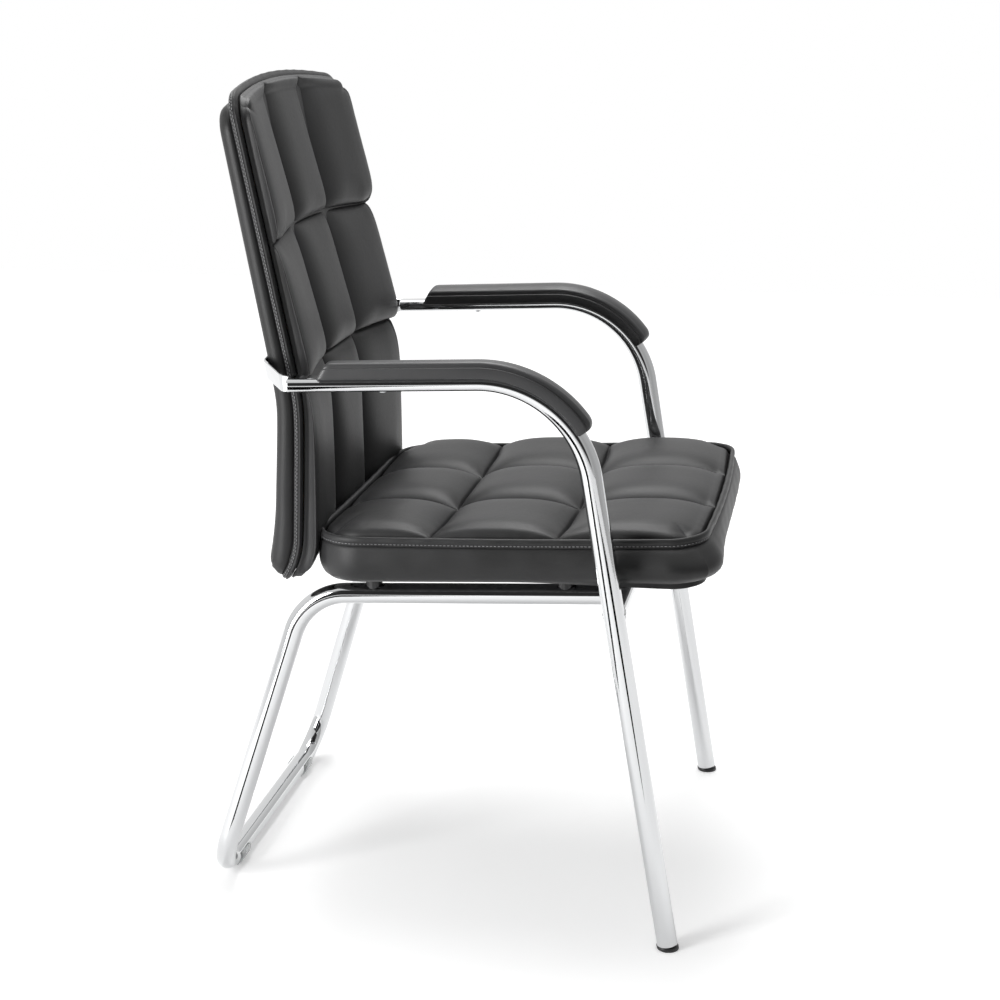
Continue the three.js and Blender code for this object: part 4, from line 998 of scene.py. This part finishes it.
seat = dict(
    halfWidth=236.0, frontY=-320.0, rearY=149.0, frontRadius=44.0, rearRadius=62.0, bow=8.0,
    weltHeight=75.0, lip=28.0, noseDrop=8.0, boardInset=30.0, boardTop=38.8, crown=26.5, seamSink=4.0,
    sideFrom=0.67, sideShare=0.4, edgeFullness=0.5, outerLean=0.04, swell=4.0, bulge=3.0,
    cornerBulge=20.0, seamIn=0.6, seamDown=2.5, boxIn=2.2, boxDown=1.2, boxSet=0.6, boxLow=1.15,
    boxDraw=1.4, ripple=0.25, tuck=16.0, tuckRise=0.6, hemIn=3.0, hemDown=1.7, hemRise=0.1,
    hemClear=0.8, welt=4.2, weltGap=0.4, weltSet=1.0, weltSides=28, weltSlim=0.7, weltFlare=0.6,
    weltTall=1.9, pinch=1.1, pinchAt=-0.35, pinchReach=0.16, weltWave=0.22, weltRipples=46,
    stitchIn=1.75, stitchDown=2.75,
)
seatSeams, seatRows = (-1 / 3, 1 / 3), (-0.28, 0.39)
seatHalfDepth = (seat["rearY"] - seat["frontY"]) / 2
seatMidY = (seat["rearY"] + seat["frontY"]) / 2


def seatPlace(points):
    # from the rail plane to the chair: turned down to the rear by the rails' slope
    a = math.radians(chair["railSlope"])
    x, y, z = points[..., 0], points[..., 1], points[..., 2]
    start = railHeight(shiftY)
    return np.stack([x, y * math.cos(a) + z * math.sin(a) + shiftY,
                     -y * math.sin(a) + z * math.cos(a) + start], -1)


def seatPoint(u, v, inset, height):
    # the rounded outline drawn in by an inset, its front edge bowed by a parabola across the width
    halfX, halfY = seat["halfWidth"] - inset, seatHalfDepth - inset
    low = np.maximum(seat["frontRadius"] - inset, seat["frontRadius"] / 4)
    high = np.maximum(seat["rearRadius"] - inset, seat["rearRadius"] / 4)
    x, y = roundCorner(halfX * u, halfY * v, halfX, halfY, low, high)
    bow = seat["bow"] * (1 - u * u) * (1 - v) / 2
    height = np.broadcast_to(height, x.shape)
    return np.stack([x, seatMidY + y - bow, height], -1)


def unevenAt(u, v):
    # the sewn edge rides a little high at the rear corners and sags between them
    return 1.6 * np.sin(2.6 * u + 0.8) * np.cos(1.9 * v + 0.4) + 1.1 * u * u * v


def lipAt(v):
    # the lip sinks towards the front
    return seat["lip"] - seat["noseDrop"] * smooth(np.clip(-v, 0, 1))


def bulgeAt(u, v):
    # fullest at the two front corners, and more so at the right one
    return seat["bulge"] + seat["cornerBulge"] * (0.6 - 0.4 * u) * np.maximum(0, -np.abs(u) * v) ** 2


def seatUpholstery():
    # the top rises by crown times the tufts' fill, which is one fall across times one along
    us, vs = seamShares(seatSeams, 32, tuft["crowding"]), seamShares(seatRows, 32, tuft["crowding"])
    U, V = np.meshgrid(us, vs)
    # the seams that run across grow shallower over the outer third of each side
    shallow = np.clip((np.abs(U) - seat["sideFrom"]) / (1 - seat["sideFrom"]), 0, 1) ** 2 * seat["sideShare"]
    rows = shallow * (1 - V * V) ** 0.6 + (1 - shallow) * roundTuft(V, seatRows)
    fill = fullTuft(U, seatSeams, seat["edgeFullness"], seat["outerLean"]) * rows
    height = seat["weltHeight"] + unevenAt(U, V) - seat["seamSink"] * clearOfEdge(U, V) + seat["crown"] * fill
    weltSeat = seat["welt"] * 2 + seat["weltGap"]
    top = seatPoint(U, V, weltSeat, height)
    top, us, vs = upholstered(top, us, vs, seatSeams, seatRows, seat["swell"])
    u, v = outlineShares(us, vs)
    lip, bulge, uneven = lipAt(v), bulgeAt(u, v), unevenAt(u, v)
    upper = seat["weltHeight"] - seat["welt"] / 2 + uneven
    # under the welt
    loops = [seatPoint(u, v, weltSeat + seat["seamIn"], seat["weltHeight"] - seat["seamDown"] + uneven)]
    loops.append(seatPoint(u, v, seat["boxIn"], upper - seat["boxDown"]))
    ripple = seat["ripple"] * (np.sin(u * 31 + v * 3) + np.sin(v * 27 - u * 5))
    for share in np.linspace(0, 1, 13)[1:-1]:
        # boxing: a bulge fullest a little below the middle, then drawn in to the lip
        out = bulge * (np.sin(np.pi * share ** seat["boxLow"]) * 1.05 - seat["boxDraw"] * share ** 6)
        out = out + ripple * np.sin(np.pi * share)
        loops.append(seatPoint(u, v, seat["boxSet"] - out, upper + (lip - upper) * share))
    loops.append(seatPoint(u, v, seat["tuck"] * 0.45, lip - seat["tuckRise"]))
    loops.append(seatPoint(u, v, seat["tuck"], lip))
    # a rolled inner edge hangs just below the board and hides its edge
    inner, low = seat["boardInset"] - seat["hemClear"], seat["lip"] - seat["hemDown"]
    loops.append(seatPoint(u, v, seat["boardInset"] - seat["hemIn"], np.minimum(lip, low)))
    loops.append(seatPoint(u, v, inner, low + seat["hemRise"]))
    loops.append(seatPoint(u, v, inner, seat["boardTop"] + chair["softGap"]))
    points, faces = shell(top, us, vs, loops)
    piece = makePiece("seatUpholstery", seatPlace(points), faces, leather, "seat_leather", ["seat_cushion"])


def seatWelt():
    # a folded edge of leather standing round the top: an upright obround, thinner at its lower seam
    us, vs = seamShares(seatSeams, 40, 0.2), seamShares(seatRows, 40, 0.2)
    u, v = outlineShares(us, vs)
    height = seat["weltHeight"] + seat["welt"] / 2 + unevenAt(u, v)
    centre = seatPoint(u, v, seat["welt"] - seat["weltSet"], height)
    out = unit(seatPoint(u, v, 0, 0) - seatPoint(u, v, seat["welt"], 0))
    cos, sin = circlePoints(seat["weltSides"]).T
    pinch = seat["pinch"] * np.exp(-((sin - seat["pinchAt"]) / seat["pinchReach"]) ** 2)
    slim = seat["welt"] - seat["weltSlim"] + seat["weltFlare"] * sin - pinch
    wave = seat["weltWave"] * np.sin(roundAngles(len(u)) * seat["weltRipples"])
    across = slim * cos + wave[:, None]
    high = np.broadcast_to((seat["welt"] + seat["weltTall"]) * sin - seat["weltFlare"], across.shape)
    rings = sweep(centre, out, np.broadcast_to([0, 0, 1], out.shape), np.stack([across, high], -1))
    points, faces = looped(rings)
    makePiece("seatWelt", seatPlace(points), faces, leather, "seat_leather", ["seat_welt"])
    path = centre + out * (seat["welt"] - seat["stitchIn"]) - [0, 0, seat["stitchDown"]]
    makePiece("seatStitches", *runStitches(seatPlace(path), out), paintedHighlightThread, "seat_leather")


seatUpholstery()
seatWelt()
print("seat made")

# Back: layers that follow one rear line

back = dict(
    halfWidth=216.0, bottom=416.0, top=979.0, arch=13.0, topRadius=34.0, lowRadius=24.0,
    lumbar=625.0, lumbarY=192.6, recline=10.4, lean=3.1, softness=18.0, tailFlare=10.0,
    tailHeight=94.0, hollow=16.0, depthLow=37.0, depthTop=28.0, tuckDepth=18.0, tuckHeight=55.0,
    proud=3.0, flange=15.0, flangeSides=72, board=11.0, rows=(650.0, 811.0), crownLow=18.62,
    crownTop=17.15, dishLow=5.0, dishTop=8.0, seamSink=5.0, edgeFullness=0.55, outerLean=0.1,
    swell=3.5, cornerFill=0.5, cornerPower=8, sideSwell=13.0, sideReach=0.15, sideFade=0.1,
    sideInset=8.0, beadHeight=1.5, beadAt=2.7, beadReach=1.3, seamDepth=0.8, seamAt=0.4,
    seamReach=0.5, stitchIn=0.15, stitchRows=(-3.3, -1.0), puckerWave=0.18, puckers=60,
    coverEdge=4.0, coverInset=6.0, coverTopDrop=8.0, coverRound=12.0, foldHeight=1.3, folds=9,
    foldReach=22.0, foldIn=14.0, foldUp=8.0,
)
backSeams = (-1 / 3, 1 / 3)
backHalf = (back["top"] - back["bottom"]) / 2
backMid = (back["top"] + back["bottom"]) / 2
backRows = tuple((z - backMid) / backHalf for z in back["rows"])
tanRecline = math.tan(math.radians(back["recline"]))
tanBackLean = math.tan(math.radians(back["lean"]))
meanLean, halfLean = (tanRecline - tanBackLean) / 2, (tanRecline + tanBackLean) / 2


def tailShare(z):
    # 1 at the bottom, falling straight to 0 at the tail's height
    return np.maximum(0, (back["bottom"] + back["tailHeight"] - z) / back["tailHeight"])


def rearLine(z):
    # two leans blended by a hyperbola about the lumbar, with a tail that flares by a square
    rise = z - back["lumbar"]
    bent = meanLean * rise + halfLean * np.hypot(rise, back["softness"])
    return back["lumbarY"] + shiftY + bent + back["tailFlare"] * tailShare(z) ** 2


def rearSlope(z):
    # how fast the rear line runs back with height
    rise = z - back["lumbar"]
    bent = meanLean + halfLean * rise / np.hypot(rise, back["softness"])
    return bent - 2 * back["tailFlare"] * tailShare(z) / back["tailHeight"]


def hollowAt(x):
    # a parabola, deepest in the middle
    return back["hollow"] * (1 - (x / back["halfWidth"]) ** 2)


def flangeDepth(z):
    # straight from the low depth to the top one, thicker by the tail's flare and thinner by a tuck
    # that grows by a square towards the bottom
    share = (z - back["bottom"]) / (back["top"] - back["bottom"])
    tuck = np.maximum(0, 1 - np.maximum(0, z - back["bottom"]) / back["tuckHeight"])
    depth = back["depthLow"] + (back["depthTop"] - back["depthLow"]) * share
    return depth + back["tailFlare"] * tailShare(z) ** 2 - back["tuckDepth"] * tuck ** 2


def backPoint(u, v, inset, depth, topDrop=0.0):
    # the outline drawn in by an inset, its top arched by a parabola, at a depth square to the rear line
    halfX, halfZ = back["halfWidth"] - inset, backHalf - inset - topDrop / 2
    low = np.maximum(back["lowRadius"] - inset, back["lowRadius"] / 4)
    high = np.maximum(back["topRadius"] - inset, back["topRadius"] / 4)
    x, rise = roundCorner(halfX * u, halfZ * v, halfX, halfZ, low, high)
    z = backMid - topDrop / 2 + rise + back["arch"] * (1 - u * u) * (1 + v) / 2
    slope = rearSlope(z)
    square = (depth(z) if callable(depth) else depth) / np.hypot(1, slope)
    return np.stack([x, rearLine(z) + hollowAt(x) - square, z + square * slope], -1)


def ahead(extra):
    # a depth that lies in front of the flange's by the extra
    return lambda z: flangeDepth(z) + extra


def lowEnd(v):
    # 1 at the lower end, falling to 0 a sixth of the way up
    return np.clip(-2 - 3 * v, 0, 1)


def backUpholstery():
    # the front stands ahead of the flange by crown times the tufts' fill, across times up
    us, vs = seamShares(backSeams, 30, tuft["crowding"]), seamShares(backRows, 34, tuft["crowding"])
    U, V = np.meshgrid(us, vs)
    hang = hangingTuft(V, backRows)
    # the two falls multiply, less so at the four corners, which stay full
    fill = fullTuft(U, backSeams, back["edgeFullness"], back["outerLean"]) * hang
    fill = fill ** (1 - back["cornerFill"] * np.abs(U * V) ** back["cornerPower"])
    edge = clearOfEdge(U, V)
    crown = back["crownLow"] + (back["crownTop"] - back["crownLow"]) * (1 + V) / 2
    rise = back["coverEdge"] + crown * fill - back["seamSink"] * edge
    # the front lies flatter across its lower end and more hollow across its top
    rise = rise - np.where(V > 0, back["dishTop"], back["dishLow"]) * V * (1 - U * U) * edge
    # each outer roll also swells sideways, by 6.75 t (1 - t)^2 over its outermost stretch
    t = np.minimum(1, (1 - np.abs(U)) / back["sideReach"])
    ends = np.minimum(1, (1 - np.abs(V)) / back["sideFade"])
    sideways = back["sideSwell"] * hang * 6.75 * t * (1 - t) ** 2 * ends
    inset = back["sideInset"] * (1 - 0.4 * lowEnd(V)) - sideways
    front = backPoint(U, V, inset, ahead(chair["softGap"] + rise))
    front, us, vs = upholstered(front, us, vs, backSeams, backRows, back["swell"])
    u, v = outlineShares(us, vs)
    inset = back["flange"] / 3
    loops = [
        backPoint(u, v, inset * (1 - 0.5 * lowEnd(v)), ahead(chair["softGap"] + back["coverEdge"] * 0.55)),
        backPoint(u, v, inset * (1.2 - 0.5 * lowEnd(v)), ahead(chair["softGap"])),
    ]
    for inner in (0, 0.25, 0.5, 0.75, 0.98):
        loops.append(backPoint(u * (1 - inner), v * (1 - inner), inset * 2.4, ahead(chair["softGap"] - 0.1)))
    points, faces = shell(front, us, vs, loops)
    piece = makePiece("backUpholstery", points, faces, leather, "back_leather", ["back_cushion"])


def backFlange():
    # a thick sewn edge: an obround laid square to the rear line, with a shallow seam along its outer face
    us, vs = seamShares(backSeams, 40, 0.2), seamShares(backRows, 48, 0.2)
    u, v = outlineShares(us, vs)
    middle = (back["flange"] - back["proud"]) / 2
    halfOut = (back["flange"] + back["proud"]) / 2 - chair["softGap"] - 0.5
    halfThick = back["board"] / 2
    centre = backPoint(u, v, middle, ahead(-halfThick))
    out = unit(backPoint(u, v, 0, ahead(-halfThick)) - centre)
    fore = unit(backPoint(u, v, middle, ahead(0)) - centre)
    x, y = obround(halfOut, halfThick, back["flangeSides"])[0].T
    # the outer face carries a raised bead in front and a narrow seam beside it
    bead = back["beadHeight"] * np.exp(-((y - back["beadAt"]) / back["beadReach"]) ** 2)
    seam = back["seamDepth"] * np.exp(-((y - back["seamAt"]) / back["seamReach"]) ** 2) - bead
    pucker = back["puckerWave"] * np.sin(roundAngles(len(u)) * back["puckers"])
    across = x + (pucker[:, None] - seam) * (x > 0)
    sections = np.stack([across, np.broadcast_to(y, across.shape)], -1)
    points, faces = looped(sweep(centre, out, fore, sections))
    makePiece("backFlange", points, faces, leather, "back_leather", ["back_flange"])
    rows = []
    for at in back["stitchRows"]:
        reach = halfOut - halfThick + math.sqrt(halfThick ** 2 - at ** 2)
        rows.append(runStitches(centre + out * (reach - back["stitchIn"]) + fore * at, out))
    makePiece("backStitches", *joined(rows), paintedHighlightThread, "back_leather")


def coverRim(v):
    # the rear cover's inset and the width of its rounded rim, which towards the lower end grows
    # broader and reaches the flange
    return back["coverInset"] * (1 - 0.7 * lowEnd(v)), back["coverRound"] * (1 + 0.6 * lowEnd(v))


def backRearCover():
    # the padded rear cover: a face on the rear line, a quarter round rim, and gathered folds at its
    # two lower corners
    us, vs = np.linspace(-1, 1, 81), np.linspace(-1, 1, 101)
    U, V = np.meshgrid(us, vs)
    drop, face = back["coverTopDrop"], ahead(-back["board"] - chair["softGap"])
    inset, rim = coverRim(V)
    flat = backPoint(U, V, inset + rim, 0.0, drop)
    u, v = outlineShares(us, vs)
    inset, rim = coverRim(v)
    loops = []
    for angle in np.linspace(0, math.pi / 2, 11)[1:]:
        deep = back["coverRound"] * (1 - math.cos(angle)) * (1 + 0.5 * lowEnd(v))
        loops.append(backPoint(u, v, inset + rim * (1 - math.sin(angle)),
                               lambda z: np.minimum(deep, face(z) * 0.9), drop))
    loops.append(backPoint(u, v, inset, face, drop))
    for inner in (0.2, 0.5, 0.8, 0.98):
        loops.append(backPoint(u * (1 - inner), v * (1 - inner), back["coverInset"], face, drop))
    points, faces = shell(flat, us, vs, loops)
    # folds: ripples that run out from each lower corner and fade by exp(-(distance / reach)^2)
    hand = np.sign(points[:, 0])
    x = points[:, 0] - hand * (back["halfWidth"] - back["foldIn"])
    z = points[:, 2] - (back["bottom"] + back["foldUp"])
    waves = np.abs(np.sin(np.arctan2(z, -hand * x) * back["folds"]))
    ripple = back["foldHeight"] * waves * np.exp(-(np.hypot(x, z) / back["foldReach"]) ** 2)
    points[:, 1] -= ripple
    points[:, 0] -= hand * ripple * 0.6
    piece = makePiece("backRearCover", points, faces, leather, "back_leather", ["back_rear_cover"])


backUpholstery()
backFlange()
backRearCover()
print("back made")

# CAD nodes that stay get their finishes

kept = {
    "arm_pad_screw": zinc, "seat_spacer": blackPlastic, "seat_bolt": zinc, "seat_tee_nut": zinc,
    "seat_board": plywood, "back_board": plywood, "seat_dust_cover": dustCloth, "back_strap": chrome,
    "back_bolt": zinc, "back_washer": zinc, "back_tee_nut": zinc,
}
for name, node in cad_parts.items():
    for start, material in kept.items():
        if name.startswith(start):
            node.data.materials.clear()
            node.data.materials.append(material)
print("kept nodes finished")
